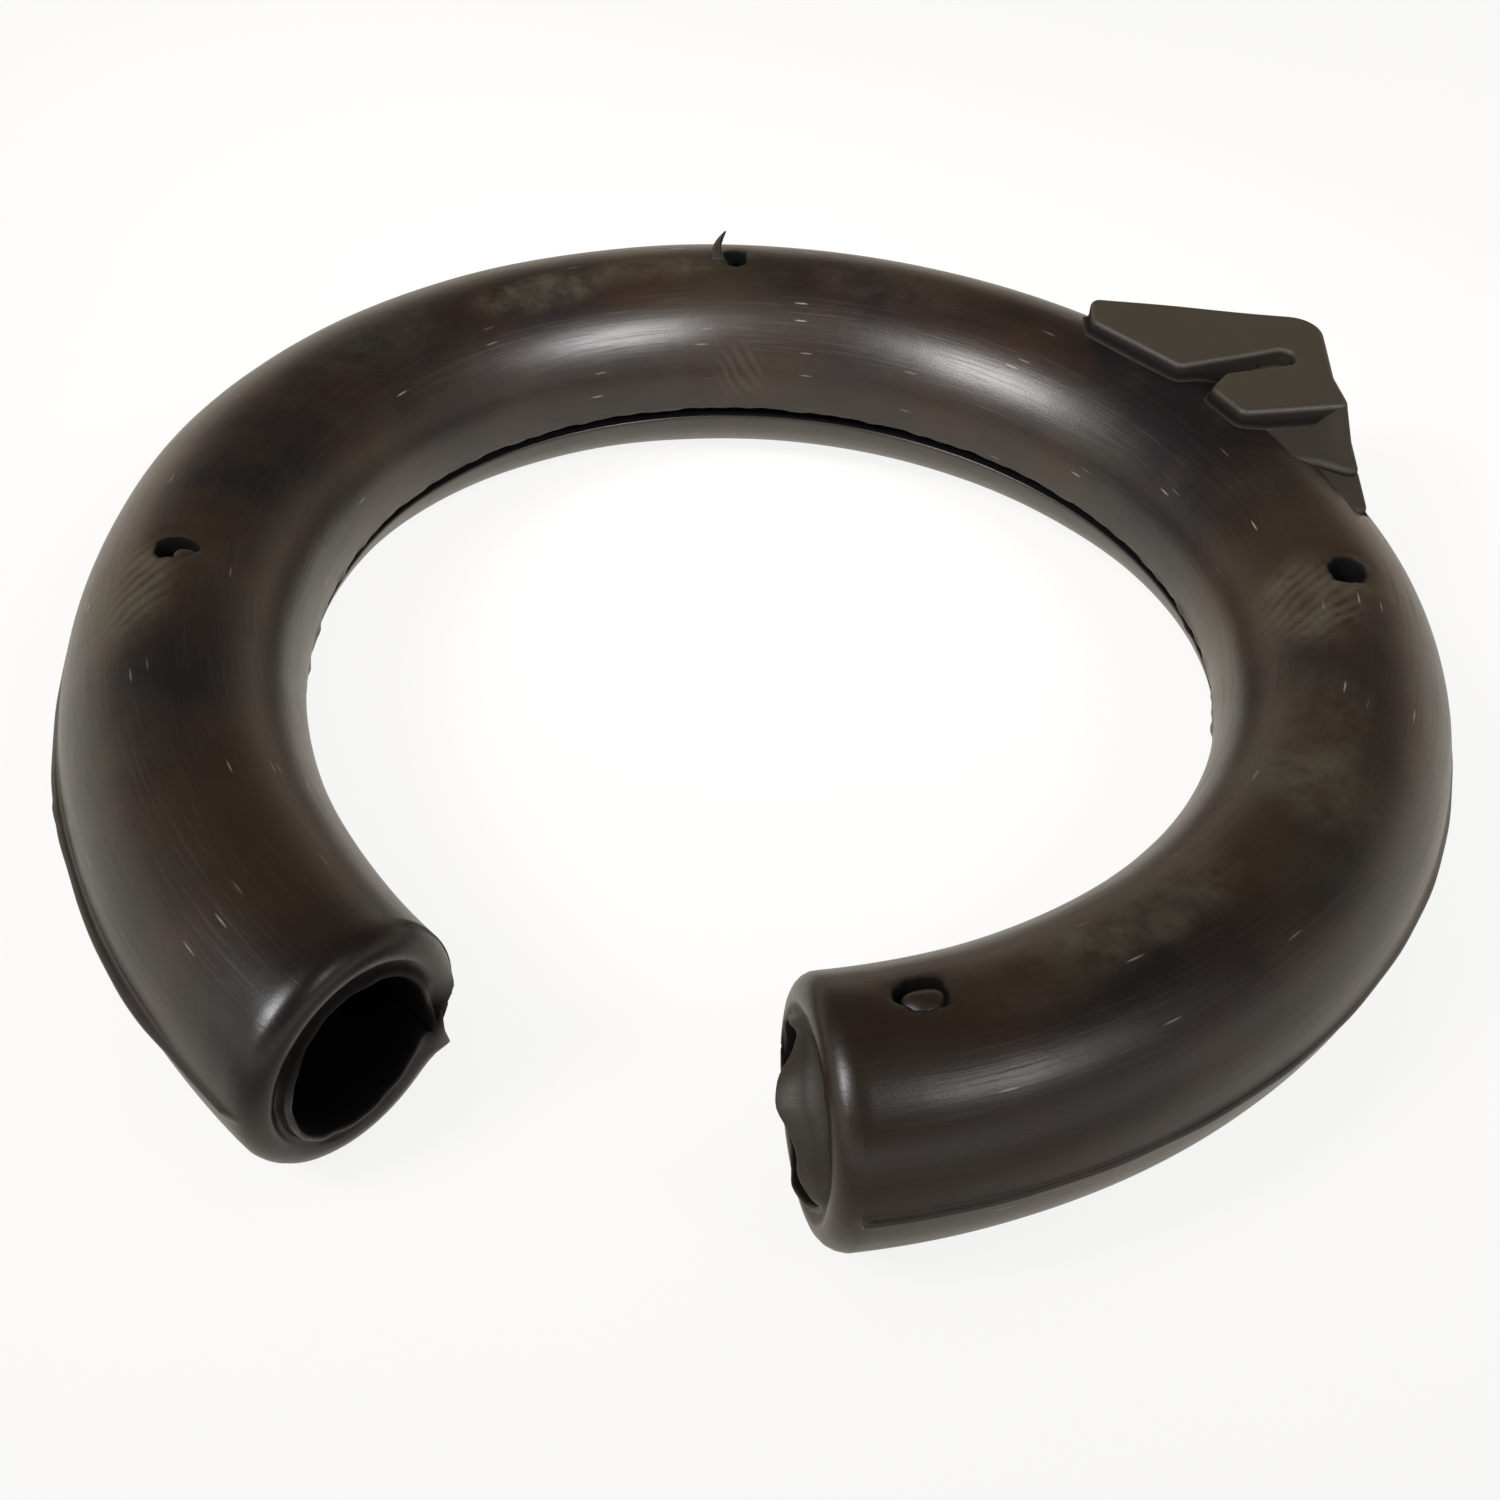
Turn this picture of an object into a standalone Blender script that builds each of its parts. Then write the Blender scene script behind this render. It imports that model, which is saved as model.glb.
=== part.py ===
"""Coil spring insulator: a moulded rubber sleeve for the end coil of a car's road spring.

The sleeve is one piece of rubber: a hollow tube bent round into most of a ring, open at both
ends and slit along its inner side, so that it snaps over the spring's wire. The mould's split
leaves a thin fin of flash round its outside. A corner-shaped lug with raised ribs stands there.

Metres, +Z up. The back of the ring is at +Y and its two open ends are at -Y. The ring lies flat,
with the middle of its bounding box's underside at the origin.
"""

import math

import bmesh
import bpy
from mathutils import Matrix, Vector

MM = 0.001

# The sleeve's centreline: a round part at the back, then each limb opens out on a wider arc
COIL_RADIUS = 62.0 * MM
LEFT_ROUND_ANGLE = math.radians(83.5)
LEFT_TAIL_RADIUS = 84.7 * MM
LEFT_TAIL_LENGTH = 81.9 * MM
RIGHT_ROUND_ANGLE = math.radians(91.4)
RIGHT_TAIL_RADIUS = 70.0 * MM
RIGHT_TAIL_LENGTH = 93.2 * MM

# The sleeve's round section
TUBE_DIAMETER = 25.0 * MM
BORE_DIAMETER = 16.0 * MM

# The slit along the inner side, a little below the middle of the section
SLIT_BEARING = math.radians(-166.0)
SLIT_WIDTH = 1.8 * MM
SLIT_END_WIDTH = 1.0 * MM
SLIT_OVERCUT = 2.0 * MM

# The fin of flash that the mould's split leaves outside. It is deep along part of the left limb
FLASH_DEPTH = 0.5 * MM
DEEP_FLASH_DEPTH = 0.9 * MM
DEEP_FLASH_PLACES = (104.0 * MM, 162.0 * MM)
DEEP_FLASH_RUN = 4.0 * MM
FLASH_ROOT_THICKNESS = 0.9 * MM
FLASH_EDGE_THICKNESS = 0.45 * MM

# Each end face: a rounded shoulder, a dished ring and a collar of flash round the bore.
# The shoulder and the collar take these shares of the wall's thickness
LEFT_FACE_TILT = math.radians(4.0)
RIGHT_FACE_TILT = math.radians(2.0)
SHOULDER_SHARE = 0.56
COLLAR_SHARE = 0.22
COLLAR_EDGE_SHARE = 0.13
DISH_DEPTH = 0.6 * MM
LEFT_COLLAR_HEIGHT = 0.7 * MM
LEFT_FLAP_HEIGHT = 2.0 * MM
LEFT_FLAP_BEARING = math.radians(-174.0)
LEFT_FLAP_SPREAD = math.radians(12.0)
RIGHT_COLLAR_HEIGHT = 0.2 * MM
RIGHT_FLAP_HEIGHT = 3.7 * MM
RIGHT_FLAP_BEARING = math.radians(58.0)
RIGHT_FLAP_SPREAD = math.radians(38.0)

# Holes left in the top of the sleeve by the pins that held the mould's core, at shares of the
# left limb's length and, where negative, of the right limb's
PIN_HOLE_DIAMETER = 3.5 * MM
PIN_HOLE_OVERRUN = 1.0 * MM
PIN_HOLE_SHARES = (0.6316, 0.0522, -0.4820, -0.9509)
PIN_HOLE_OFFSETS = (1.2 * MM, 0.0 * MM, 0.3 * MM, -1.2 * MM)

# A curved nib of rubber beside the hole at the back
NIB_PLACE = 11.3 * MM
NIB_HEIGHT = 3.8 * MM
NIB_DIAMETER = 1.7 * MM
NIB_TAPER = 0.85
NIB_LEAN = 0.5 * MM
NIB_ROOT_DEPTH = 1.5 * MM

# The lug. Its plan is measured from the centre of the ring in shares of the coil's radius, so
# that it stays on the sleeve, and its heights from the tube's top
LUG_BACK_FLAT = 0.9032 * COIL_RADIUS
LUG_SIDE_FLAT = 1.0500 * COIL_RADIUS
LUG_SIDE_BULGE = 0.9 * MM
LUG_SIDE_BULGE_SPAN = (0.5968 * COIL_RADIUS, 0.6774 * COIL_RADIUS)
LUG_LEFT_EDGE = 0.5839 * COIL_RADIUS
LUG_RIB_RISE = 2.0 * MM
LUG_STEP_DROP = 0.3 * MM
LUG_TOE_DROP = 1.2 * MM
LUG_UNDERSIDE_DROP = 1.0 * MM
LUG_CORNER_RADIUS = 4.0 * MM
LUG_EDGE_ROUNDING = 0.7 * MM
BACK_RIB_BEARINGS = (math.radians(35.6), math.radians(48.3))
BACK_RIB_FRONT_SLOPE = math.radians(26.4)
FRONT_RIB_BEARINGS = (math.radians(53.2), math.radians(58.8))
FRONT_RIB_BACK_SLOPE = math.radians(22.0)
FRONT_RIB_FRONT_SLOPE = math.radians(15.5)
FRONT_RIB_END_SLOPE = math.radians(60.0)
FRONT_RIB_END_RUN = 2.2 * MM
RIM_WIDTH = 4.4 * MM
RAMP_WIDTH = 3.2 * MM
RAMP_LENGTH = 10.0 * MM
GROOVE_END_SHARE = 0.31
RIB_CORNER_RADIUS = 1.2 * MM
STEP_SIDE = 1.0710 * COIL_RADIUS
STEP_FRONT = 0.4290 * COIL_RADIUS
STEP_FRONT_BEND = 0.9919 * COIL_RADIUS
STEP_FRONT_AT_SIDE = 0.3968 * COIL_RADIUS
STEP_INNER_EDGE = 0.9032 * COIL_RADIUS
TOE_FRONT = 0.2968 * COIL_RADIUS
TOE_SIDE_FLAT = 1.0758 * COIL_RADIUS
TOE_INNER_EDGE = 0.9758 * COIL_RADIUS

# Facets
SLEEVE_STATIONS = 62
FLANK_FACETS = 11
BORE_FACETS = 22
SHOULDER_FACETS = 3
HOLE_FACETS = 12
CORNER_FACETS = 3
NIB_FACETS = 8
NIB_STATIONS = 5
SMOOTH_SHADING_ANGLE = math.radians(35.0)

# The rubber
RUBBER_COLOUR = (0.030, 0.027, 0.025, 1.0)
RUBBER_ROUGHNESS = 0.45

TUBE_RADIUS = TUBE_DIAMETER / 2
BORE_RADIUS = BORE_DIAMETER / 2
WALL = TUBE_RADIUS - BORE_RADIUS
SHOULDER_RADIUS = WALL * SHOULDER_SHARE
LEFT_END = COIL_RADIUS * LEFT_ROUND_ANGLE + LEFT_TAIL_LENGTH
RIGHT_END = -(COIL_RADIUS * RIGHT_ROUND_ANGLE + RIGHT_TAIL_LENGTH)
PIN_HOLE_PLACES = [share * (LEFT_END if share >= 0.0 else -RIGHT_END) for share in PIN_HOLE_SHARES]
UP = Vector((0.0, 0.0, 1.0))


def sleeve_frame(along):
    """Centre, outward direction and direction towards the nearer end, at a distance from the back.

    The distance is along the centreline, positive to the left. A limb is a round arc followed by
    a wider tail arc whose centre lies on the spoke where the round arc stops.
    """
    side = 1.0 if along >= 0.0 else -1.0
    round_angle = LEFT_ROUND_ANGLE if along >= 0.0 else RIGHT_ROUND_ANGLE
    tail_radius = LEFT_TAIL_RADIUS if along >= 0.0 else RIGHT_TAIL_RADIUS
    turn = abs(along) / COIL_RADIUS
    radius = COIL_RADIUS
    if turn > round_angle:
        turn = round_angle + (abs(along) - COIL_RADIUS * round_angle) / tail_radius
        radius = tail_radius
    spoke = Vector((-side * math.sin(round_angle), math.cos(round_angle), 0.0))
    outward = Vector((-side * math.sin(turn), math.cos(turn), 0.0))
    centre = (COIL_RADIUS - radius) * spoke + radius * outward
    onward = Vector((-side * math.cos(turn), -math.sin(turn), 0.0))
    return centre, outward, onward


def section_angles():
    """Angles round the section, from the fin of flash outside, over the top and back to the fin.

    The first two are the fin's thin edge and the next is its root. The top and the bottom of the
    section each have a flat facet in their middle.
    """
    root = math.asin(FLASH_ROOT_THICKNESS / TUBE_DIAMETER)
    edge = math.asin(FLASH_EDGE_THICKNESS / TUBE_DIAMETER)
    step = (math.pi - 2 * root) / FLANK_FACETS
    upper = [root + i * step for i in range(FLANK_FACETS + 1)]
    return [-edge, edge] + upper + [math.pi + angle for angle in upper]


def flash_depth(along):
    """Depth of the fin of flash at a distance along the sleeve, rising to its deep stretch."""
    first, last = DEEP_FLASH_PLACES
    inside = min(along - first, last - along) / DEEP_FLASH_RUN
    return FLASH_DEPTH + (DEEP_FLASH_DEPTH - FLASH_DEPTH) * min(max(inside, 0.0), 1.0)


def section_radii(count, radius, depth):
    """Radii for the section's angles, with the fin's edge standing out by a depth."""
    return [radius + depth] * 2 + [radius] * (count - 2)


def ring(centre, outward, angles, radii):
    """Points of one ring of the section."""
    points = []
    for angle, radius in zip(angles, radii):
        points.append(centre + radius * (math.cos(angle) * outward + math.sin(angle) * UP))
    return points


def collar_height(angle, height, flap_height, bearing, spread):
    """Height of the collar at an angle round the bore: an even edge with one torn flap on it."""
    away = math.remainder(angle - bearing, 2 * math.pi)
    return height + flap_height * math.exp(-((away / spread) ** 2))


def end_rings(along, tilt, angles, collar):
    """Rings over one end face, which may be tilted about the vertical, to inside the bore."""
    face, outward, onward = sleeve_frame(along)
    turned = Matrix.Rotation(tilt, 3, "Z")
    outward, onward = turned @ outward, turned @ onward
    rings = []
    for i in range(1, SHOULDER_FACETS + 1):
        turn = math.pi / 2 * i / SHOULDER_FACETS
        radius = TUBE_RADIUS - SHOULDER_RADIUS * (1.0 - math.cos(turn))
        centre = face - onward * SHOULDER_RADIUS * (1.0 - math.sin(turn))
        radii = section_radii(len(angles), radius, flash_depth(along) * math.cos(turn))
        rings.append(ring(centre, outward, angles, radii))
    foot = [BORE_RADIUS + WALL * COLLAR_SHARE] * len(angles)
    rings.append(ring(face - onward * DISH_DEPTH, outward, angles, foot))
    for radius in (BORE_RADIUS + WALL * COLLAR_EDGE_SHARE, BORE_RADIUS / 2):
        points = ring(face, outward, angles, [radius] * len(angles))
        heights = [collar_height(angle, *collar) for angle in angles]
        rings.append([point + onward * rise for point, rise in zip(points, heights)])
    return rings


def skin(name, rings):
    """Closed solid through a list of rings that all have the same number of points."""
    mesh = bmesh.new()
    loops = [[mesh.verts.new(point) for point in points] for points in rings]
    count = len(loops[0])
    for first, second in zip(loops, loops[1:]):
        for i in range(count):
            j = (i + 1) % count
            mesh.faces.new((first[i], first[j], second[j], second[i]))
    mesh.faces.new(loops[0])
    mesh.faces.new(loops[-1])
    bmesh.ops.recalc_face_normals(mesh, faces=mesh.faces)
    return finish(name, mesh)


def finish(name, mesh):
    """Put a bmesh into a new object of the scene."""
    data = bpy.data.meshes.new(name)
    mesh.to_mesh(data)
    mesh.free()
    made = bpy.data.objects.new(name, data)
    bpy.context.scene.collection.objects.link(made)
    return made


def make_helper(tool):
    """Show an object as a wire guide that isn't rendered."""
    tool.display_type = "WIRE"
    tool.hide_render = True
    return tool


def combine(target, tool, operation):
    """Add or cut a helper object with an exact Boolean modifier."""
    modifier = target.modifiers.new(tool.name, "BOOLEAN")
    modifier.operation = operation
    modifier.solver = "EXACT"
    modifier.object = make_helper(tool)


def make_sleeve():
    """The sleeve without its bore: the section carried along the centreline, with its end faces."""
    angles = section_angles()
    right_collar = (RIGHT_COLLAR_HEIGHT, RIGHT_FLAP_HEIGHT, RIGHT_FLAP_BEARING, RIGHT_FLAP_SPREAD)
    left_collar = (LEFT_COLLAR_HEIGHT, LEFT_FLAP_HEIGHT, LEFT_FLAP_BEARING, LEFT_FLAP_SPREAD)
    first = RIGHT_END + SHOULDER_RADIUS
    last = LEFT_END - SHOULDER_RADIUS
    rings = end_rings(RIGHT_END, RIGHT_FACE_TILT, angles, right_collar)[::-1]
    for i in range(SLEEVE_STATIONS):
        along = first + (last - first) * i / (SLEEVE_STATIONS - 1)
        centre, outward, _ = sleeve_frame(along)
        radii = section_radii(len(angles), TUBE_RADIUS, flash_depth(along))
        rings.append(ring(centre, outward, angles, radii))
    rings += end_rings(LEFT_END, LEFT_FACE_TILT, angles, left_collar)
    return skin("spring_insulator", rings)


def keyhole(along):
    """Section of the bore and its slit in one, at a distance, as (outward, up) points.

    A circle that runs out into the parallel-sided slit, which is widest at the back.
    """
    limb = LEFT_END if along >= 0.0 else -RIGHT_END
    widening = math.cos(math.pi / 2 * abs(along) / limb)
    half = (SLIT_END_WIDTH + (SLIT_WIDTH - SLIT_END_WIDTH) * widening) / 2
    lip = math.asin(half / BORE_RADIUS)
    points = []
    for i in range(BORE_FACETS + 1):
        turn = SLIT_BEARING + lip + (2 * math.pi - 2 * lip) * i / BORE_FACETS
        points.append((BORE_RADIUS * math.cos(turn), BORE_RADIUS * math.sin(turn)))
    away = (TUBE_RADIUS + SLIT_OVERCUT) * Vector((math.cos(SLIT_BEARING), math.sin(SLIT_BEARING)))
    across = half * Vector((-math.sin(SLIT_BEARING), math.cos(SLIT_BEARING)))
    return points + [tuple(away - across), tuple(away + across)]


def make_bore():
    """Cutter for the bore and the slit, which runs out straight past both ends of the sleeve."""
    overrun = RIGHT_COLLAR_HEIGHT + RIGHT_FLAP_HEIGHT + LEFT_COLLAR_HEIGHT + LEFT_FLAP_HEIGHT
    rings = []
    for i in range(-1, SLEEVE_STATIONS + 1):
        share = min(max(i / (SLEEVE_STATIONS - 1), 0.0), 1.0)
        along = RIGHT_END + (LEFT_END - RIGHT_END) * share
        centre, outward, onward = sleeve_frame(along)
        if i in (-1, SLEEVE_STATIONS):
            centre = centre + onward * overrun
        rings.append([centre + out * outward + up * UP for out, up in keyhole(along)])
    return skin("bore_cutter", rings)


def make_pin_holes():
    """Cutters for the holes of the mould's core pins, from inside the bore out through the top."""
    mesh = bmesh.new()
    bottom = BORE_RADIUS / 2
    top = TUBE_RADIUS + PIN_HOLE_OVERRUN
    for along, offset in zip(PIN_HOLE_PLACES, PIN_HOLE_OFFSETS):
        centre, outward, _ = sleeve_frame(along)
        centre = centre + outward * offset
        made = bmesh.ops.create_cone(mesh, cap_ends=True, segments=HOLE_FACETS, depth=top - bottom,
                                     radius1=PIN_HOLE_DIAMETER / 2, radius2=PIN_HOLE_DIAMETER / 2)
        bmesh.ops.translate(mesh, verts=made["verts"], vec=centre + UP * (top + bottom) / 2)
    return finish("pin_hole_cutters", mesh)


def make_nib():
    """The curved nib: a thin cone that leans along the sleeve more and more towards its tip."""
    centre, _, onward = sleeve_frame(NIB_PLACE)
    rings = []
    for i in range(NIB_STATIONS):
        share = i / (NIB_STATIONS - 1)
        height = -NIB_ROOT_DEPTH + share * (NIB_HEIGHT + NIB_ROOT_DEPTH)
        lean = NIB_LEAN * share * share
        radius = NIB_DIAMETER / 2 * (1.0 - NIB_TAPER * share)
        middle = centre + UP * (TUBE_RADIUS + height) - onward * lean
        level = []
        for j in range(NIB_FACETS):
            angle = 2 * math.pi * j / NIB_FACETS
            level.append(middle + radius * Vector((math.cos(angle), math.sin(angle), 0.0)))
        rings.append(level)
    return skin("nib", rings)


def on_coil(bearing):
    """Point of the ring's centreline at a bearing from the back towards the right."""
    return Vector((COIL_RADIUS * math.sin(bearing), COIL_RADIUS * math.cos(bearing)))


def towards(start, slope, distance_x):
    """Point reached from a start by going a distance in X on a line with a slope angle."""
    return start + Vector((distance_x, distance_x * math.tan(slope)))


def rounded(corners):
    """Outline whose corners, given as (point, radius), are replaced by arcs."""
    outline = []
    count = len(corners)
    for i, (corner, radius) in enumerate(corners):
        before = (corners[i - 1][0] - corner).normalized()
        after = (corners[(i + 1) % count][0] - corner).normalized()
        half = before.angle(after) / 2
        reach = radius / math.tan(half)
        centre = corner + (before + after).normalized() * radius / math.sin(half)
        start = corner + before * reach - centre
        sweep = start.angle_signed(corner + after * reach - centre)
        for step in range(CORNER_FACETS + 1):
            turned = start.copy()
            turned.rotate(Matrix.Rotation(-sweep * step / CORNER_FACETS, 2))
            outline.append(centre + turned)
    return outline


def block(name, outline, top_height):
    """Upright block on a plane outline, its top edges rounded, from the lug's underside up."""
    mesh = bmesh.new()
    low = [mesh.verts.new((point.x, point.y, -LUG_UNDERSIDE_DROP)) for point in outline]
    high = [mesh.verts.new((point.x, point.y, top_height(point))) for point in outline]
    count = len(outline)
    for i in range(count):
        j = (i + 1) % count
        mesh.faces.new((low[i], low[j], high[j], high[i]))
    mesh.faces.new(low)
    top = mesh.faces.new(high)
    bmesh.ops.recalc_face_normals(mesh, faces=mesh.faces)
    bmesh.ops.bevel(mesh, geom=list(top.edges), offset=LUG_EDGE_ROUNDING, segments=2,
                    profile=0.5, affect="EDGES", clamp_overlap=True)
    return finish(name, mesh)


def make_lug_blocks():
    """The lug's parts: two ribs joined by an outer rim, a ramp, a lower step and a small toe."""
    rib_top = TUBE_RADIUS + LUG_RIB_RISE
    step_top = TUBE_RADIUS - LUG_STEP_DROP
    toe_top = TUBE_RADIUS - LUG_TOE_DROP
    rim_inner = LUG_SIDE_FLAT - RIM_WIDTH
    bulge_front, bulge_back = LUG_SIDE_BULGE_SPAN
    bulge_side = LUG_SIDE_FLAT + LUG_SIDE_BULGE
    step_back = LUG_BACK_FLAT - LUG_CORNER_RADIUS
    back_start = on_coil(BACK_RIB_BEARINGS[0])
    elbow = on_coil(BACK_RIB_BEARINGS[1])
    front_start = on_coil(FRONT_RIB_BEARINGS[0])
    nose = on_coil(FRONT_RIB_BEARINGS[1])
    groove_back = towards(elbow, BACK_RIB_FRONT_SLOPE, rim_inner - elbow.x)
    rib_back = towards(front_start, FRONT_RIB_END_SLOPE, FRONT_RIB_END_RUN)
    groove_front = towards(rib_back, FRONT_RIB_BACK_SLOPE, rim_inner - rib_back.x)
    rib_front = towards(nose, FRONT_RIB_FRONT_SLOPE, bulge_side - nose.x)
    groove_end = (groove_back.y - groove_front.y) * GROOVE_END_SHARE
    ribs = rounded([
        (Vector((LUG_LEFT_EDGE, LUG_BACK_FLAT)), RIB_CORNER_RADIUS),
        (back_start, RIB_CORNER_RADIUS),
        (elbow, RIB_CORNER_RADIUS),
        (groove_back, groove_end),
        (groove_front, groove_end),
        (rib_back, RIB_CORNER_RADIUS),
        (front_start, RIB_CORNER_RADIUS),
        (nose, RIB_CORNER_RADIUS),
        (rib_front, LUG_EDGE_ROUNDING),
        (Vector((bulge_side, bulge_front)), LUG_EDGE_ROUNDING),
        (Vector((LUG_SIDE_FLAT, bulge_back)), RIB_CORNER_RADIUS),
        (Vector((LUG_SIDE_FLAT, LUG_BACK_FLAT)), LUG_CORNER_RADIUS),
    ])
    step = rounded([
        (Vector((STEP_INNER_EDGE, step_back)), RIB_CORNER_RADIUS),
        (Vector((STEP_INNER_EDGE, STEP_FRONT)), RIB_CORNER_RADIUS),
        (Vector((STEP_FRONT_BEND, STEP_FRONT)), RIB_CORNER_RADIUS),
        (Vector((STEP_SIDE, STEP_FRONT_AT_SIDE)), RIB_CORNER_RADIUS),
        (Vector((STEP_SIDE, rib_front.y)), LUG_EDGE_ROUNDING),
        (Vector((LUG_SIDE_FLAT - LUG_EDGE_ROUNDING, step_back)), RIB_CORNER_RADIUS),
    ])
    ramp_back = rib_front.y + RIB_CORNER_RADIUS
    ramp_foot = ramp_back - RAMP_LENGTH
    ramp_side = STEP_SIDE - LUG_EDGE_ROUNDING / 2
    ramp = rounded([
        (Vector((ramp_side - RAMP_WIDTH, ramp_back)), LUG_EDGE_ROUNDING),
        (Vector((ramp_side - RAMP_WIDTH, ramp_foot)), LUG_EDGE_ROUNDING),
        (Vector((ramp_side, ramp_foot)), LUG_EDGE_ROUNDING),
        (Vector((ramp_side, ramp_back)), LUG_EDGE_ROUNDING),
    ])
    toe = rounded([
        (Vector((TOE_INNER_EDGE, STEP_FRONT)), RIB_CORNER_RADIUS),
        (Vector((TOE_INNER_EDGE, TOE_FRONT)), RIB_CORNER_RADIUS),
        (Vector((TOE_SIDE_FLAT, TOE_FRONT)), RIB_CORNER_RADIUS),
        (Vector((TOE_SIDE_FLAT, STEP_FRONT)), RIB_CORNER_RADIUS),
    ])

    def ramp_top(point):
        """Height of the ramp, which falls from just below the ribs' top to the step."""
        share = (point.y - ramp_foot) / RAMP_LENGTH
        return step_top + (rib_top - LUG_EDGE_ROUNDING - step_top) * share

    return [
        block("lug_ribs", ribs, lambda point: rib_top),
        block("lug_step", step, lambda point: step_top),
        block("lug_ramp", ramp, ramp_top),
        block("lug_toe", toe, lambda point: toe_top),
    ]


def rubber():
    """Black moulded rubber, satin."""
    material = bpy.data.materials.new("moulded_rubber")
    material.use_nodes = True
    shader = material.node_tree.nodes["Principled BSDF"]
    shader.inputs["Base Color"].default_value = RUBBER_COLOUR
    shader.inputs["Roughness"].default_value = RUBBER_ROUGHNESS
    shader.inputs["Metallic"].default_value = 0.0
    return material


def main():
    for old in list(bpy.data.objects):
        bpy.data.objects.remove(old, do_unlink=True)
    sleeve = make_sleeve()
    tools = make_lug_blocks()
    for tool in tools:
        combine(sleeve, tool, "UNION")
    bore = make_bore()
    combine(sleeve, bore, "DIFFERENCE")
    holes = make_pin_holes()
    combine(sleeve, holes, "DIFFERENCE")
    nib = make_nib()
    combine(sleeve, nib, "UNION")
    sleeve.data.materials.append(rubber())
    sleeve.data.shade_smooth()
    sleeve.data.set_sharp_from_angle(angle=SMOOTH_SHADING_ANGLE)
    stand(sleeve, tools + [bore, holes, nib])


def stand(sleeve, tools):
    """Move everything so that the middle of the finished part's underside is at the origin."""
    graph = bpy.context.evaluated_depsgraph_get()
    corners = [Vector(corner) for corner in sleeve.evaluated_get(graph).bound_box]
    low = Vector(min(corner[axis] for corner in corners) for axis in range(3))
    high = Vector(max(corner[axis] for corner in corners) for axis in range(3))
    shift = Vector(((low.x + high.x) / 2, (low.y + high.y) / 2, low.z))
    for made in [sleeve] + tools:
        made.location -= shift


main()
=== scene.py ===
"""Looks of the coil spring insulator: its moulded rubber at full detail, and the stage round it.

The CAD node gives the place and the size. This file replaces it with finer surfaces of the same
shape: the sleeve with its slit, torn flash and pin holes, the ribbed lug and the small nib.
Lengths inside the functions are millimetres, measured from the centre of the ring.
"""

import math

import bmesh
import bpy
import numpy as np
from mathutils import Matrix, Vector


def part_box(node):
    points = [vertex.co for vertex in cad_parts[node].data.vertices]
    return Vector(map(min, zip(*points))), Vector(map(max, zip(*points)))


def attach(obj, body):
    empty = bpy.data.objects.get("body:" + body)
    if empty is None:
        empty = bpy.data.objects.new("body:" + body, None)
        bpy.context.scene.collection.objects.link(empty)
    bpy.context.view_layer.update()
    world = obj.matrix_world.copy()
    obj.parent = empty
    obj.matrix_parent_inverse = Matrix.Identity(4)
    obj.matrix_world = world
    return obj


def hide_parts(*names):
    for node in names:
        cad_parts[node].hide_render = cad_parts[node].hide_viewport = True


bl_info = {
    "name": "Coil spring insulator",
    "version": (1, 0, 0),
    "blender": (4, 5, 0),
    "location": "3D View > Sidebar > Insulator",
    "description": "Builds the moulded rubber insulator of a car's coil spring and its stage",
    "category": "Add Mesh",
}

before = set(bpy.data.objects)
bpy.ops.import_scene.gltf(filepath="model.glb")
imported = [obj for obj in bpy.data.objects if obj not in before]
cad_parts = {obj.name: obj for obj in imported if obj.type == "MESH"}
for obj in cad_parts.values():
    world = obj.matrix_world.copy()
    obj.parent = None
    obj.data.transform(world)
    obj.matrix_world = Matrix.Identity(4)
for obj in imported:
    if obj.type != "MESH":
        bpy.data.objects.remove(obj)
CAD_LOW, CAD_HIGH = [np.array(corner) * 1000.0 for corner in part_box("spring_insulator")]

MM = 0.001
PHOTO_SIDE = 1500

# The centreline, as in the part's source
COIL_RADIUS = 62.0
LEFT_ROUND_ANGLE = math.radians(83.5)
LEFT_TAIL_RADIUS = 84.7
LEFT_TAIL_LENGTH = 81.9
RIGHT_ROUND_ANGLE = math.radians(91.4)
RIGHT_TAIL_RADIUS = 70.0
RIGHT_TAIL_LENGTH = 93.2
LEFT_END = COIL_RADIUS * LEFT_ROUND_ANGLE + LEFT_TAIL_LENGTH
RIGHT_END = -(COIL_RADIUS * RIGHT_ROUND_ANGLE + RIGHT_TAIL_LENGTH)

# The section and its ends
TUBE_RADIUS = 12.5
BORE_RADIUS = 8.0
FLASH_DEPTH = 0.5
SLIT_BEARING = math.radians(-166.0)
SLIT_WIDTH = 1.8
SLIT_END_WIDTH = 1.0
SHOULDER_RADIUS = 2.5
LEFT_FACE_TILT = math.radians(4.0)
RIGHT_FACE_TILT = math.radians(2.0)

# Grid of the sleeve
STATIONS = 340
SECTION_STEP = math.radians(4.5)
WALL_ROWS = 13
BORE_INSET = 1.6

# Centre of the ring in the row frame: the CAD box less the sleeve's reach to the right and back
RIGHT_REACH = (COIL_RADIUS - RIGHT_TAIL_RADIUS) * math.sin(RIGHT_ROUND_ANGLE) + RIGHT_TAIL_RADIUS
RING_CENTRE = np.array([
    CAD_HIGH[0] - RIGHT_REACH - TUBE_RADIUS - FLASH_DEPTH,
    CAD_HIGH[1] - COIL_RADIUS - TUBE_RADIUS - FLASH_DEPTH,
    CAD_LOW[2] + TUBE_RADIUS,
])


def wrapped(angle):
    """The same angle between minus pi and pi."""
    return np.remainder(angle + math.pi, 2.0 * math.pi) - math.pi


def waves(x, seed, periods, weights):
    """Irregular curve: a weighted sum of sine waves of the given periods, with random phases."""
    phases = np.random.default_rng(seed).uniform(0.0, 2.0 * math.pi, len(periods))
    total = np.zeros_like(x)
    for period, weight, phase in zip(periods, weights, phases):
        total = total + weight * np.sin(2.0 * math.pi * x / period + phase)
    return total


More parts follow.
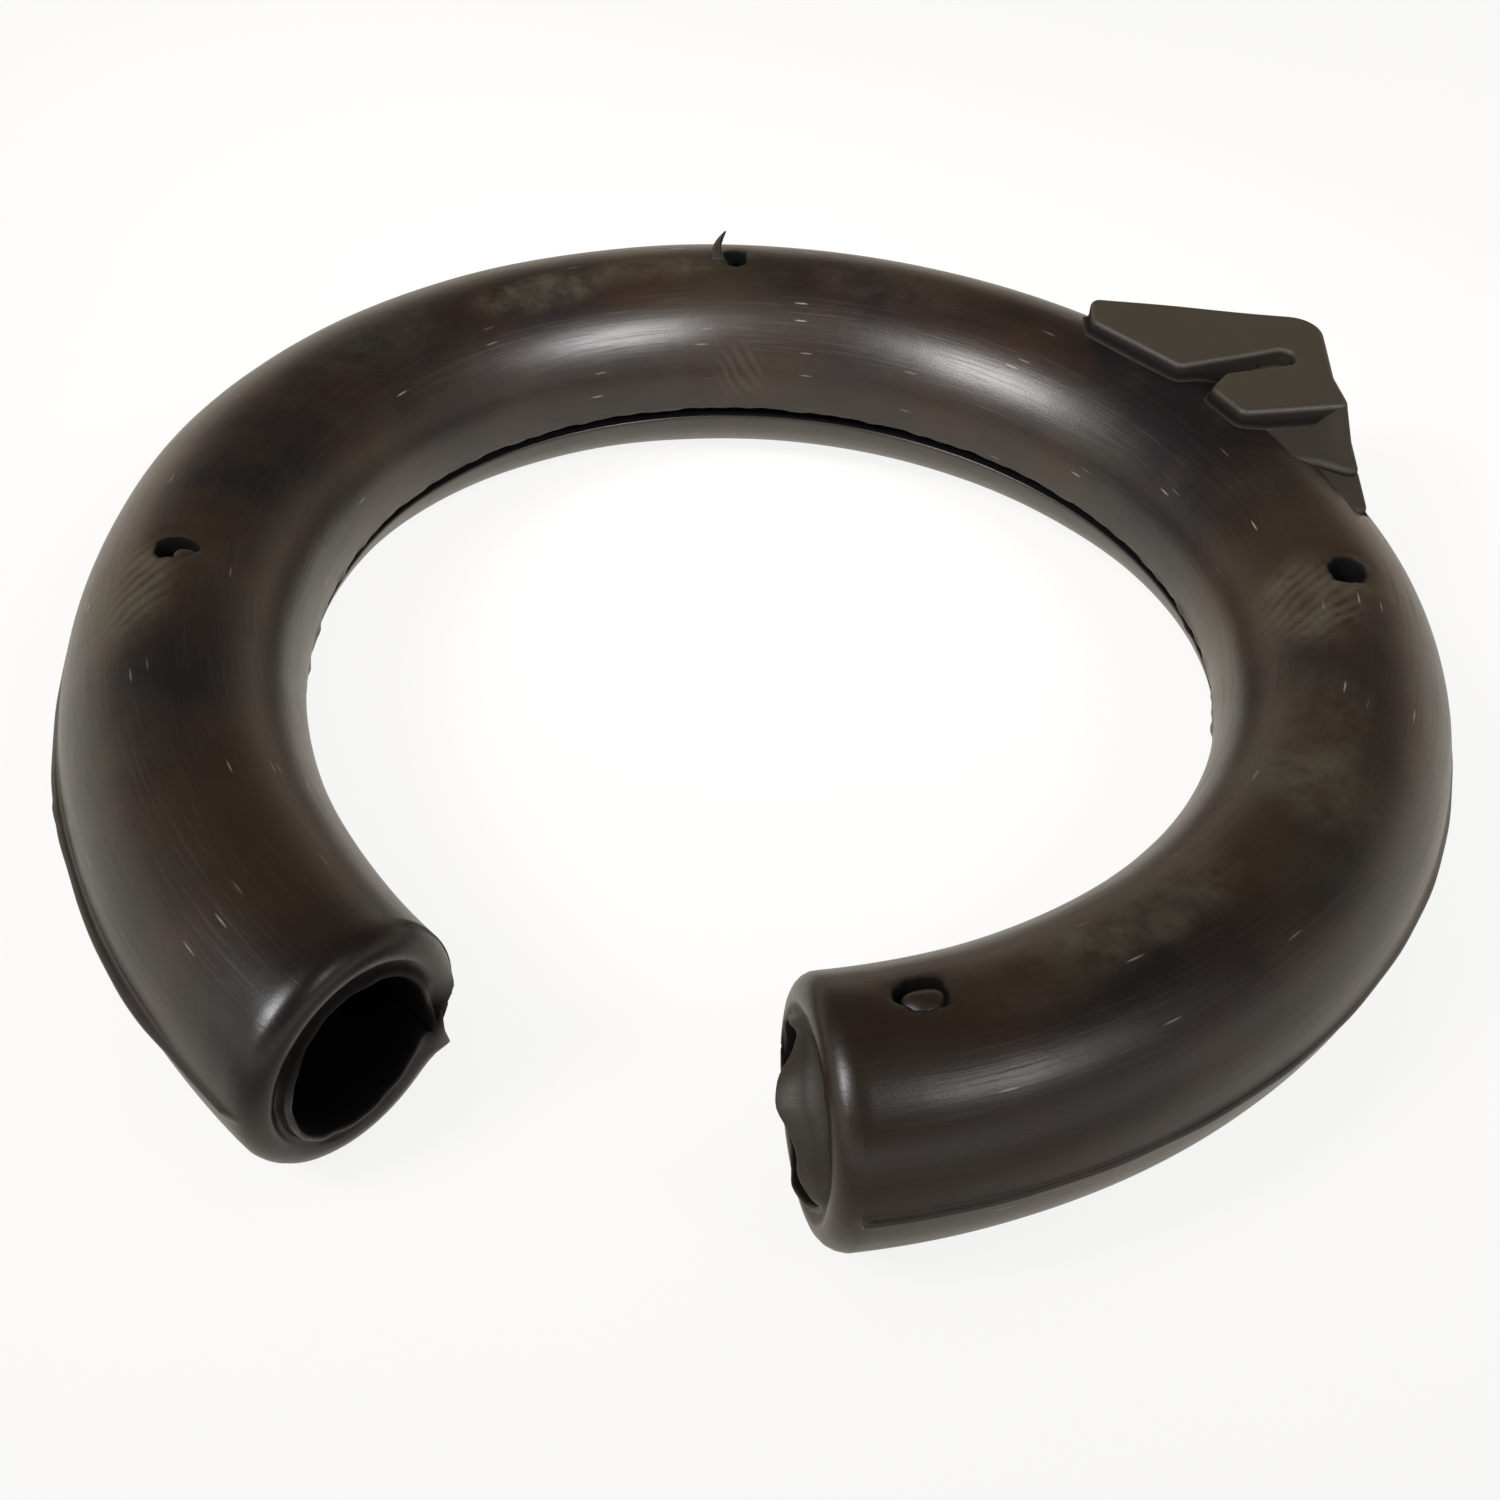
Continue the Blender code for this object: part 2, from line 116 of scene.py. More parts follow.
def bell(x, middle, width):
    """Bell curve: e to the power of minus the squared distance from the middle over the width."""
    return np.exp(-(((x - middle) / width) ** 2))


def rise(x, low, high):
    """Smooth step from 0 at low to 1 at high: three squares less two cubes of the share."""
    share = np.clip((x - low) / (high - low), 0.0, 1.0)
    return share * share * (3.0 - 2.0 * share)


def on_sleeve(along, turn, reach):
    """Points at distances along the centreline, angles round the section and radii from it.

    Each limb is a round arc followed by a wider tail arc whose centre lies on the spoke where the
    round arc stops. The section stands upright on that path: outward times the cosine of the
    angle, plus up times its sine, both times the radius.
    """
    along, turn, reach = np.broadcast_arrays(along, turn, reach)
    side = np.where(along >= 0.0, 1.0, -1.0)
    round_angle = np.where(along >= 0.0, LEFT_ROUND_ANGLE, RIGHT_ROUND_ANGLE)
    tail_radius = np.where(along >= 0.0, LEFT_TAIL_RADIUS, RIGHT_TAIL_RADIUS)
    past = np.maximum(np.abs(along) - COIL_RADIUS * round_angle, 0.0)
    angle = np.minimum(np.abs(along) / COIL_RADIUS, round_angle) + past / tail_radius
    radius = np.where(past > 0.0, tail_radius, COIL_RADIUS)
    from_centre = radius + reach * np.cos(turn)
    x = -side * ((COIL_RADIUS - radius) * np.sin(round_angle) + from_centre * np.sin(angle))
    y = (COIL_RADIUS - radius) * np.cos(round_angle) + from_centre * np.cos(angle)
    return np.stack([x, y, reach * np.sin(turn)], axis=-1)


def torn(along, seed):
    """Torn edge from 0 to 1: waves 4 to 23 mm long, raised to a power so that the gaps are wide."""
    ragged = waves(along, seed, (3.9, 6.7, 11.3, 23.0), (0.3, 0.35, 0.3, 0.3))
    return np.clip(0.5 + 0.7 * ragged, 0.0, 1.0) ** 1.5


# The fin of flash is deeper from the first span along the sleeve to the second, with one tooth
DEEP_FIN_STARTS = (118.0, 136.0)
DEEP_FIN_ENDS = (158.0, 163.0)
TOOTH_PLACE = 132.0
TOOTH_HEIGHT = 0.2

# A shallow dent in the top of the right limb
DENT_PLACE = -161.0
DENT_BEARING = math.radians(91.0)
DENT_DEPTH = 0.3


def fin_depth(along, depth):
    """Depth of the outer fin: an even wave, plus about half a millimetre where it is deep.

    The deep part fades in and out by smooth steps, and the tooth is a narrow bell.
    """
    deep = rise(along, *DEEP_FIN_STARTS) * (1.0 - rise(along, *DEEP_FIN_ENDS))
    tooth = TOOTH_HEIGHT * bell(along, TOOTH_PLACE, 0.9)
    even = depth * (0.85 + 0.15 * waves(along, 3, (9.0, 31.0), (0.4, 0.6)))
    return even + deep * (0.45 + 0.05 * waves(along, 4, (7.0, 17.0), (0.4, 0.6))) + tooth


def outer_reach(along, turn, depth):
    """Radius of the outer wall: the tube, its fin of flash, slow unevenness and a shallow dent."""
    arc = np.abs(wrapped(turn)) * TUBE_RADIUS
    fin = fin_depth(along, depth) * (1.0 - rise(arc, 0.18, 0.62)) + 0.08 * bell(arc, 0.0, 1.2)
    slow = waves(along, 11, (23.0, 37.0, 71.0), (0.02, 0.03, 0.04)) * np.cos(turn * 2.0 + along / 40.0)
    dent = DENT_DEPTH * bell(along, DENT_PLACE, 1.7)
    dent = dent * bell((turn - DENT_BEARING) * TUBE_RADIUS, 0.0, 1.3)
    return TUBE_RADIUS + fin + slow - dent


def section_angles():
    """Angles from the slit's lower lip round the outer side to its upper lip, closer at features."""
    even = np.arange(SLIT_BEARING + SECTION_STEP, SLIT_BEARING + 2.0 * math.pi, SECTION_STEP)
    even = even[even < SLIT_BEARING + 2.0 * math.pi - SECTION_STEP / 2.0]
    fin = np.array([-0.95, -0.62, -0.4, -0.18, 0.0, 0.18, 0.4, 0.62, 0.95]) / TUBE_RADIUS
    even = even[np.abs(even) > 1.3 / TUBE_RADIUS]
    lips = np.array([0.0, 0.25, 0.55]) / TUBE_RADIUS
    ends = np.concatenate([SLIT_BEARING + lips, SLIT_BEARING + 2.0 * math.pi - lips])
    return np.sort(np.concatenate([even, fin, ends]))


def collar(turn, parts):
    """Height of the torn collar round a bore mouth: a low edge plus bell-shaped flaps."""
    height = np.full_like(turn, parts[0])
    for flap_height, bearing, spread in parts[1:]:
        away = wrapped(turn - math.radians(bearing))
        height = height + flap_height * np.exp(-((np.abs(away) / math.radians(spread)) ** 2.4))
    return height


# Collars: even height, then (height, bearing, spread) of each flap. Spikes: the slit's torn lips
LEFT_COLLAR = (0.05, (1.2, 190.0, 10.0), (0.75, -8.0, 52.0), (0.15, 100.0, 30.0))
LEFT_SPIKES = ((0.6, 184.0, 6.0), (-1.3, 196.0, 6.0), (2.2, 214.0, 5.0))
LEFT_DISH = 0.6
# Painted shade: share of the dark torn tone laid over the upper half of the dish and collar round the
# bore's mouth, at the left end only
LEFT_UPPER_SHADE = 0.7
RIGHT_COLLAR = (0.15, (3.5, 60.0, 34.0), (1.7, 8.0, 20.0), (0.9, 122.0, 14.0), (0.7, 150.0, 14.0),
                (-0.3, -32.0, 18.0), (0.6, -75.0, 18.0))
RIGHT_DISH = 0.15
RIGHT_UPPER_SHADE = 0.0

# Rows over an end face: turns round the shoulder, then radii of the dish and of the collar
SHOULDER_TURNS = (12.0, 28.0, 45.0, 62.0, 78.0, 90.0)
DISH_RADII = (9.6, 9.2, 8.95)
DISH_SHARES = np.array([-0.6, -1.0, -0.9])
COLLAR_RADII = (8.78, 8.6, 8.3, 8.08)


def face_rows(turn, along_end, onward, tilt, parts, spikes, dish_depth, upper_shade):
    """Rows (along, radius, share of the dark torn tone) over one end face, from outside to the bore.

    The rows go round the shoulder's quarter circle, down into the dished ring, then up, over and
    down the collar. The tilt leans the face by the tangent of its angle times the outward offset.
    Spikes of torn rubber stand out from the shoulder beside the slit. Painted shade, in the dark torn
    tone, darkens the dish, the collar's fall into the bore and the slit's edges, and upper_shade lays
    it over the upper half of the dish and collar.
    """
    quarter = np.radians(SHOULDER_TURNS)
    reach = [*(TUBE_RADIUS - SHOULDER_RADIUS * (1.0 - np.cos(quarter))), *DISH_RADII]
    ahead = [*(SHOULDER_RADIUS * (np.sin(quarter) - 1.0)), *(dish_depth * DISH_SHARES)]
    height = collar(turn, parts)
    rows = [np.full_like(turn, value) for value in ahead]
    rows += [height * 0.45 - 0.2, height - 0.1, height, height - 0.25]
    lean = 0.22 * np.maximum(height - 1.0, 0.0)
    radii = [np.full_like(turn, value) for value in reach]
    radii += [radius - lean * share for radius, share in zip(COLLAR_RADII, (0.4, 1.0, 1.0, 0.9))]
    for spike_height, bearing, spread in spikes:
        away = wrapped(turn - math.radians(bearing))
        spike = spike_height * np.exp(-np.abs(away) / math.radians(spread))
        for index, share in enumerate((0.5, 0.9, 1.0, 0.9, 0.7, 0.5, 0.3)):
            radii[index] = radii[index] + spike * share
    rough = 0.05 * waves(turn * 8.0, 21, (3.1, 5.3, 9.0), (1.0, 1.0, 1.0))
    placed = []
    for row, radius in zip(rows, radii):
        inner = radius < DISH_RADII[0] - 0.3
        offset = row + rough * inner + onward * math.tan(tilt) * radius * np.cos(turn)
        placed.append(along_end + onward * offset)
    from_slit = wrapped(turn - SLIT_BEARING)
    # Painted shade: the dark torn tone in the dish, on the collar's fall into the bore and beside the
    # slit, and over the upper half round the mouth
    shade_by_row = np.array([0.0] * 6 + [0.1, 0.2, 0.2, 0.0, 0.0, 0.3, 0.9])[:, None]
    darker = np.maximum(shade_by_row, bell(from_slit, 0.0, 0.3))
    above = np.where(np.arange(len(rows)) >= 7, upper_shade, 0.0)[:, None] * rise(np.sin(turn), 0.0, 0.5)
    return np.array(placed), np.array(radii), np.maximum(darker, above)


# Pin holes: place along, bearing, half width, half length, lip height, seed of the ragged rim
PIN_HOLES = (
    (107.6, 86.0, 1.6, 2.3, 0.12, 1),
    (9.0, 90.0, 1.5, 1.8, 0.15, 2),
    (-92.6, 89.0, 2.2, 1.9, 0.2, 3),
    (-182.2, 97.0, 2.4, 2.0, 0.05, 5),
)

# Half length and half angle of the patch of the sleeve that each hole's rings take up
PATCH_LENGTH = 4.6
PATCH_TURN = 0.38

# Rings down a hole's wall: share of the rim, and radius from the centreline
HOLE_WALL = ((0.93, 11.6), (0.9, 10.6), (0.9, 9.4), (0.92, 8.3), (1.0, BORE_RADIUS))


def hole_rings(along, turn, place, depth):
    """Rings from a patch's edge to the rim of a torn pin hole, down its wall and out in the bore.

    Each ring holds places along, angles, radii and shares of the dark torn tone, which is painted
    shade towards the rim, down the wall and in the bore. It lies on straight lines from the patch's
    edge to the rim, whose radius is an ellipse with a few waves. The rim stands up in a low torn lip
    inside a shallow dimple.
    """
    middle, bearing, across, length, lip, seed = place
    a = along - middle
    b = (turn - math.radians(bearing)) * TUBE_RADIUS
    angle = np.arctan2(b, a)
    ragged = 1.0 + 0.05 * waves(angle, seed, (2.1, 1.257, 0.7), (1.0, 0.8, 0.8))
    rim = ragged / np.sqrt((np.cos(angle) / across) ** 2 + (np.sin(angle) / length) ** 2)
    rings = []
    for share in (0.3, 0.55, 0.75, 0.87, 0.95, 1.0):
        ra = (1.0 - share) * a + share * rim * np.cos(angle)
        rb = (1.0 - share) * b + share * rim * np.sin(angle)
        away = np.hypot(ra, rb) - rim
        torn_lip = lip * (0.55 + 0.45 * np.sin(angle * 2.0 + seed)) * bell(away, 0.25, 0.4)
        sunk = 0.3 * np.exp(-away / 0.8)
        edge = 0.3 * (share == 1.0)
        ring_along = middle + ra
        ring_turn = math.radians(bearing) + rb / TUBE_RADIUS
        reach = outer_reach(ring_along, ring_turn, depth) + torn_lip - sunk - edge
        # Painted shade: the dark torn tone rises over the last rings to the rim, and fills the wall
        # and the bore below
        rings.append((ring_along, ring_turn, reach, np.full_like(a, rise(share, 0.8, 0.97))))
    for share, reach in HOLE_WALL:
        ring_turn = math.radians(bearing) + share * rim * np.sin(angle) / TUBE_RADIUS
        rings.append((middle + share * rim * np.cos(angle), ring_turn, np.full_like(a, reach),
                      np.ones_like(a)))
    ra = 0.5 * (a + rim * np.cos(angle))
    rb = 0.5 * (b + rim * np.sin(angle))
    rings.append((middle + ra, math.radians(bearing) + rb / TUBE_RADIUS,
                  np.full_like(a, BORE_RADIUS), np.ones_like(a)))
    return rings


# Plugs: place along, bearing, radius of the middle, half length, half width, half height
PLUGS = (
    (-182.0, 94.5, 11.55, 2.1, 1.75, 0.9),
    (108.6, 91.0, 11.6, 1.3, 1.3, 0.8),
)


def build_plugs():
    """Torn plugs left in two pin holes: ellipsoids with a few waves, below the sleeve's skin."""
    polar = np.linspace(0.0, math.pi, 15)[:, None]
    turn = np.linspace(0.0, 2.0 * math.pi, 24, endpoint=False)[None, :]
    points = []
    quads = []
    caps = []
    used = 0
    for middle, bearing, reach, half_length, half_width, half_height in PLUGS:
        uneven = 1.0 + 0.07 * np.sin(turn * 3.0 + middle) * np.sin(polar)
        a = middle + half_length * np.sin(polar) * np.cos(turn) * uneven
        b = bearing + np.degrees(half_width * np.sin(polar) * np.sin(turn) * uneven / TUBE_RADIUS)
        shell = on_sleeve(a, np.radians(b), reach + half_height * np.cos(polar) * uneven)
        ids = np.arange(used, used + shell[..., 0].size).reshape(shell.shape[:2])
        used += ids.size
        points.append(shell.reshape(-1, 3))
        quads.append(loop_faces(ids)[1:-1].reshape(-1, 4))
        caps += [ids[1], ids[-2]]
    points = np.concatenate(points)
    attributes = {"lay": points * MM, "torn": np.full(len(points), 0.2)}
    return add_mesh("insulator_plugs", points, np.concatenate(quads), attributes, caps)


def loop_faces(ids):
    """Quads of a grid of vertex numbers whose rows are closed loops."""
    onward = np.roll(ids, -1, axis=1)
    return np.stack([ids[:-1], ids[1:], onward[1:], onward[:-1]], axis=-1)


def strip_faces(first, second, closed):
    """Quads between two rows of vertex numbers, round to the start again on a closed row."""
    if closed:
        return np.stack([first, np.roll(first, -1), np.roll(second, -1), second], axis=-1)
    return np.stack([first[:-1], first[1:], second[1:], second[:-1]], axis=-1)


def add_mesh(name, points, faces, attributes=None, caps=()):
    """Object of points in millimetres from the ring's centre, with faces turned outwards.

    Faces is an array of quads, and caps are further faces of any length. Unused points are left out.
    """
    used, packed = np.unique(np.concatenate([faces.ravel()] + [np.ravel(cap) for cap in caps]),
                             return_inverse=True)
    quads = packed[:faces.size].reshape(faces.shape)
    lists = quads.tolist()
    start = faces.size
    for cap in caps:
        lists.append(packed[start:start + len(cap)].tolist())
        start += len(cap)
    mesh = bpy.data.meshes.new(name)
    mesh.from_pydata(((points[used] + RING_CENTRE) * MM).tolist(), [], lists)
    for key, values in (attributes or {}).items():
        kind = "FLOAT_VECTOR" if values.ndim == 2 else "FLOAT"
        layer = mesh.attributes.new(key, kind, "POINT")
        layer.data.foreach_set("vector" if values.ndim == 2 else "value",
                               values[used].astype(np.float32).ravel())
    work = bmesh.new()
    work.from_mesh(mesh)
    bmesh.ops.recalc_face_normals(work, faces=work.faces)
    work.to_mesh(mesh)
    work.free()
    mesh.shade_smooth()
    made = bpy.data.objects.new(name, mesh)
    bpy.context.scene.collection.objects.link(made)
    return made


# Marks on the rubber: place along, bearing, half length, half width in mm, weight
SMUDGES = (
    (36.0, 104.0, 8.0, 2.6, 0.9),
    (20.0, 98.0, 7.0, 2.0, 0.6),
    (114.0, 64.0, 7.0, 5.0, 0.6),
    (-98.0, 113.0, 7.5, 5.5, 0.85),
    (-122.0, 104.0, 10.0, 5.0, 0.45),
    (-131.0, 100.0, 5.0, 8.0, 0.5),
    (-157.0, 103.0, 11.0, 4.5, 0.8),
    (-171.0, 96.0, 9.0, 4.0, 0.35),
    (60.0, 95.0, 9.0, 4.0, 0.3),
    (-12.0, 100.0, 10.0, 3.0, 0.3),
)
SCUFFS = (
    (8.5, 166.0, 3.4, 3.0, 0.45),
    (113.0, 62.0, 6.0, 4.5, 1.0),
    (-97.5, 112.0, 6.0, 5.0, 0.7),
)


def marks(along, turn, places):
    """Sum of soft-edged ovals, each the bell of the squared distance, a little heavier at its rim."""
    total = np.zeros_like(along)
    for middle, bearing, half_length, half_width, weight in places:
        away = ((along - middle) / half_length) ** 2
        away = away + ((turn - math.radians(bearing)) * TUBE_RADIUS / half_width) ** 2
        total = total + weight * np.exp(-(away ** 2)) * (0.6 + 0.8 * away)
    return np.clip(total, 0.0, 1.0)


def build_sleeve(sizes):
    """The sleeve: a closed C-shaped section carried along the centreline, with two end faces.

    One loop of the section runs over the outer wall from lip to lip, through the slit's upper
    wall, back round the bore and out through its lower wall. Rows over the end faces join the two.
    """
    along = np.linspace(RIGHT_END + SHOULDER_RADIUS, LEFT_END - SHOULDER_RADIUS, STATIONS)
    base = section_angles()
    count = len(base)
    limb = np.where(along >= 0.0, LEFT_END, -RIGHT_END)
    slit = sizes.slit_width / MM
    width = SLIT_END_WIDTH + (slit - SLIT_END_WIDTH) * np.cos(math.pi / 2.0 * np.abs(along) / limb)
    half = width / 2.0 / TUBE_RADIUS
    share = (base - SLIT_BEARING) / (2.0 * math.pi)
    turn = SLIT_BEARING + half[:, None] + share[None, :] * (2.0 * math.pi - 2.0 * half[:, None])
    grid = np.broadcast_to(along[:, None], turn.shape)
    depth = sizes.flash_depth / MM
    reach = outer_reach(grid, turn, depth)

    # Torn flash on the slit's lips, longer along the limbs than at the back
    hanging = torn(along, 8) * (0.35 + 0.65 * rise(np.abs(along - 8.0), 66.0, 84.0))
    for lip, across, out in ((-1, 0.30, 0.32), (-2, 0.12, 0.12)):
        turn[:, lip] += across * torn(along, 6) / TUBE_RADIUS
        reach[:, lip] += out * hanging
    reach[:, 0] -= 0.08
    reach[:, 0] += 0.25 * torn(along, 9) * (hanging > 0.55)

    # The closed section at each station: outer wall, upper wall of the slit, bore and lower wall
    bore_along = np.linspace(RIGHT_END + BORE_INSET, LEFT_END - BORE_INSET, STATIONS)[:, None]
    wall_along = np.repeat(along[:, None], WALL_ROWS, 1)
    levels = np.linspace(TUBE_RADIUS - 0.25, BORE_RADIUS + 0.2, WALL_ROWS)
    wall_reach = np.repeat(levels[None, :], STATIONS, 0)
    loop_along = np.concatenate([grid, wall_along, np.broadcast_to(bore_along, turn.shape),
                                 wall_along], axis=1)
    loop_turn = np.concatenate([turn, np.repeat(turn[:, -1:], WALL_ROWS, 1), turn[:, ::-1],
                                np.repeat(turn[:, :1], WALL_ROWS, 1)], axis=1)
    loop_reach = np.concatenate([reach, wall_reach, np.full_like(turn, BORE_RADIUS),
                                 wall_reach[:, ::-1]], axis=1)
    # Painted shade: the slit's walls and the whole bore take the dark, dull torn tone
    loop_torn_and_shade = np.ones_like(loop_reach)
    loop_torn_and_shade[:, :count] = 0.0
    total = loop_along.shape[1]
    ids = np.arange(STATIONS * total).reshape(STATIONS, total)
    quads = loop_faces(ids)
    keep = np.ones(quads.shape[:2], dtype=bool)
    extra = []
    pieces = []
    used = STATIONS * total

    # End faces: rows from the outer wall to the bore, between the slit's two walls
    upper = slice(count, count + WALL_ROWS)
    lower = slice(total - WALL_ROWS, total)
    bore = count + WALL_ROWS + np.arange(count)[::-1]
    for station, end, onward, tilt, *shapes in (
            (0, RIGHT_END, -1.0, -RIGHT_FACE_TILT, RIGHT_COLLAR, (), RIGHT_DISH,
             RIGHT_UPPER_SHADE),
            (STATIONS - 1, LEFT_END, 1.0, LEFT_FACE_TILT, LEFT_COLLAR, LEFT_SPIKES,
             LEFT_DISH, LEFT_UPPER_SHADE)):
        face_along, face_reach, face_torn_and_shade = face_rows(turn[station], end, onward, tilt * onward,
                                                      *shapes)
        loop_along[station, upper] = face_along[:, -1]
        loop_reach[station, upper] = face_reach[:, -1]
        loop_along[station, lower] = face_along[::-1, 0]
        loop_reach[station, lower] = face_reach[::-1, 0]
        inner = np.arange(used, used + WALL_ROWS * (count - 2)).reshape(WALL_ROWS, count - 2)
        used += inner.size
        low = ids[station, lower][::-1][:, None]
        high = ids[station, upper][:, None]
        rows = np.concatenate([low, inner, high], axis=1)
        rows = np.concatenate([ids[station, :count][None], rows, ids[station, bore][None]], axis=0)
        extra.append(strip_faces(rows[:-1].T, rows[1:].T, False).reshape(-1, 4))
        spread = np.repeat(turn[station][None, 1:-1], WALL_ROWS, 0)
        pieces.append((face_along[:, 1:-1], spread, face_reach[:, 1:-1], face_torn_and_shade[:, 1:-1]))

    # Pin holes: a patch of the outer wall and one of the bore give way to rings between them
    for place in PIN_HOLES:
        bearing = math.radians(place[1])
        i0, i1 = np.searchsorted(along, (place[0] - PATCH_LENGTH, place[0] + PATCH_LENGTH))
        j0, j1 = np.searchsorted(base, (bearing - PATCH_TURN, bearing + PATCH_TURN))
        keep[i0:i1, j0:j1] = False
        keep[i0:i1, bore[j1]:bore[j0]] = False
        rim_i = np.concatenate([np.arange(i0, i1), np.full(j1 - j0, i1), np.arange(i1, i0, -1),
                                np.full(j1 - j0, i0)])
        rim_j = np.concatenate([np.full(i1 - i0, j0), np.arange(j0, j1), np.full(i1 - i0, j1),
                                np.arange(j1, j0, -1)])
        rings = hole_rings(along[rim_i], turn[rim_i, rim_j], place, depth)
        rows = np.arange(used, used + len(rings) * len(rim_i)).reshape(len(rings), -1)
        used += rows.size
        rows = np.concatenate([ids[rim_i, rim_j][None], rows, ids[rim_i, bore[rim_j]][None]])
        for first, second in zip(rows[:-1], rows[1:]):
            extra.append(strip_faces(first, second, True))
        pieces.append(tuple(np.array([ring[axis] for ring in rings]) for axis in range(4)))

    # Nothing reaches below the floor. The dished ring of the right face is plainly matt
    all_along, all_turn, all_reach, all_torn_and_shade = [
        np.concatenate([loop.ravel()] + [piece[axis].ravel() for piece in pieces])
        for axis, loop in enumerate((loop_along, loop_turn, loop_reach, loop_torn_and_shade))]
    points = on_sleeve(all_along, all_turn, all_reach)
    points[:, 2] = np.maximum(points[:, 2], -TUBE_RADIUS)
    in_face = (all_along < RIGHT_END + 1.2) & (all_reach < DISH_RADII[0] + 0.3)
    outside = all_reach > TUBE_RADIUS - 0.4
    lay = np.stack([all_along, all_turn * TUBE_RADIUS, all_reach], axis=-1) * MM
    # The torn share is painted shade in the bore, slit, holes and end faces, and the torn rubber's own
    # dull tone on flaps and lips
    attributes = {
        "lay": lay,
        "smudge": marks(all_along, all_turn, SMUDGES) * outside,
        "scuff": marks(all_along, all_turn, SCUFFS) * outside,
        "torn": all_torn_and_shade,
        "open": outside * 1.0,
        "matt": in_face * 1.0,
    }
    faces = np.concatenate([quads[keep]] + extra)
    return add_mesh("insulator_sleeve", points, faces, attributes)


# The lug, with bearings and slopes in degrees, as in the part's source
LUG_BACK = 56.0
LUG_SIDE = 65.1
LUG_BULGE = 0.9
LUG_BULGE_SPAN = (37.0, 42.0)
LUG_LEFT = 36.2
LUG_CORNER = 4.0
LUG_UNDERSIDE = -1.0
RIB_CORNER = 1.2
GROOVE_END = 1.4
RIM_WIDTH = 4.4
BACK_RIB_BEARINGS = (35.6, 48.3)
BACK_RIB_FRONT_SLOPE = 26.4
FRONT_RIB_BEARINGS = (53.2, 58.8)
FRONT_RIB_BACK_SLOPE = 22.0
FRONT_RIB_FRONT_SLOPE = 15.5
FRONT_RIB_END_SLOPE = 60.0
FRONT_RIB_END_RUN = 2.2
RAMP_WIDTH = 4.4
RAMP_LENGTH = 10.0
STEP_TOP = TUBE_RADIUS - 0.3
STEP_SIDE = 66.4
STEP_BACK = 52.0
STEP_FRONT = 26.6
STEP_FRONT_BEND = 61.5
STEP_FRONT_AT_SIDE = 24.6
STEP_INNER_EDGE = 56.0
TOE_TOP = TUBE_RADIUS - 1.2
TOE_SIDE = 66.7
TOE_BACK = 27.5
TOE_FRONT = 18.4
TOE_INNER_EDGE = 60.5
TOE_CORNER = 1.6
EDGE = 0.7
FILLET = 0.7
LOW_FILLET = 0.5
SINK = 0.12

# Offsets from the centreline between which a fillet fades out, and the reach of a wall's foot
# that stands clear of the tube
FILLET_FADE = (8.5, 11.0)
CLEAR_FOOT_REACH = 11.4

# Flat ground under the ribs and under the step: x from, x to, y from, y to, height
STEP_PLATE = (56.5, 64.8, 24.6, 46.5, STEP_TOP)
TOE_PLATE = (60.5, 66.0, 18.0, 27.0, TOE_TOP)

# Points inside the ribs, the step and the toe, where the fans that close their undersides meet
DEEP_MIDDLES = ((51.0, 50.0, 4.0), (60.5, 37.0, 4.0), (65.5, 22.5, 4.0))


def on_coil(degrees):
    """Point of the centreline at a bearing from the back towards the right."""
    bearing = math.radians(degrees)
    return np.array([COIL_RADIUS * math.sin(bearing), COIL_RADIUS * math.cos(bearing)])


def towards(start, slope, distance_x):
    """Point reached from a start by going a distance in X on a line with a slope in degrees."""
    return start + np.array([distance_x, distance_x * math.tan(math.radians(slope))])


def rounded(corners, spacing=0.4):
    """Closed outline through corners (x, y, radius), each replaced by an arc, evenly spaced.

    The arc's centre lies on the corner's bisector at the radius over the sine of half the angle.
    """
    runs = []
    places = [np.array(corner[:2], dtype=float) for corner in corners]
    for index, corner in enumerate(corners):
        here = places[index]
        before = places[index - 1] - here
        after = places[(index + 1) % len(places)] - here
        before = before / np.linalg.norm(before)
        after = after / np.linalg.norm(after)
        half = math.acos(np.clip(before @ after, -1.0, 1.0)) / 2.0
        centre = here + (before + after) / np.linalg.norm(before + after) * corner[2] / math.sin(half)
        reach = corner[2] / math.tan(half)
        start = here + before * reach - centre
        stop = here + after * reach - centre
        first = math.atan2(start[1], start[0])
        sweep = math.remainder(math.atan2(stop[1], stop[0]) - first, 2.0 * math.pi)
        angles = first + sweep * np.linspace(0.0, 1.0, 9)
        runs.append(centre + corner[2] * np.stack([np.cos(angles), np.sin(angles)], axis=-1))
    path = np.concatenate(runs + [runs[0][:1]])
    lengths = np.concatenate([[0.0], np.cumsum(np.linalg.norm(np.diff(path, axis=0), axis=1))])
    places = np.linspace(0.0, lengths[-1], int(lengths[-1] / spacing), endpoint=False)
    return np.stack([np.interp(places, lengths, path[:, axis]) for axis in range(2)], axis=-1)


def outward(outline):
    """Unit normals of a closed outline: its tangents, from both neighbours, turned a quarter."""
    tangent = np.roll(outline, -2, 0) + np.roll(outline, -1, 0) - np.roll(outline, 1, 0)
    tangent = tangent - np.roll(outline, 2, 0)
    tangent = tangent / np.linalg.norm(tangent, axis=1)[:, None]
    normal = np.stack([tangent[:, 1], -tangent[:, 0]], axis=-1)
    x, y = outline.T
    area = np.sum(x * np.roll(y, -1) - np.roll(x, -1) * y)
    return normal * np.sign(area)


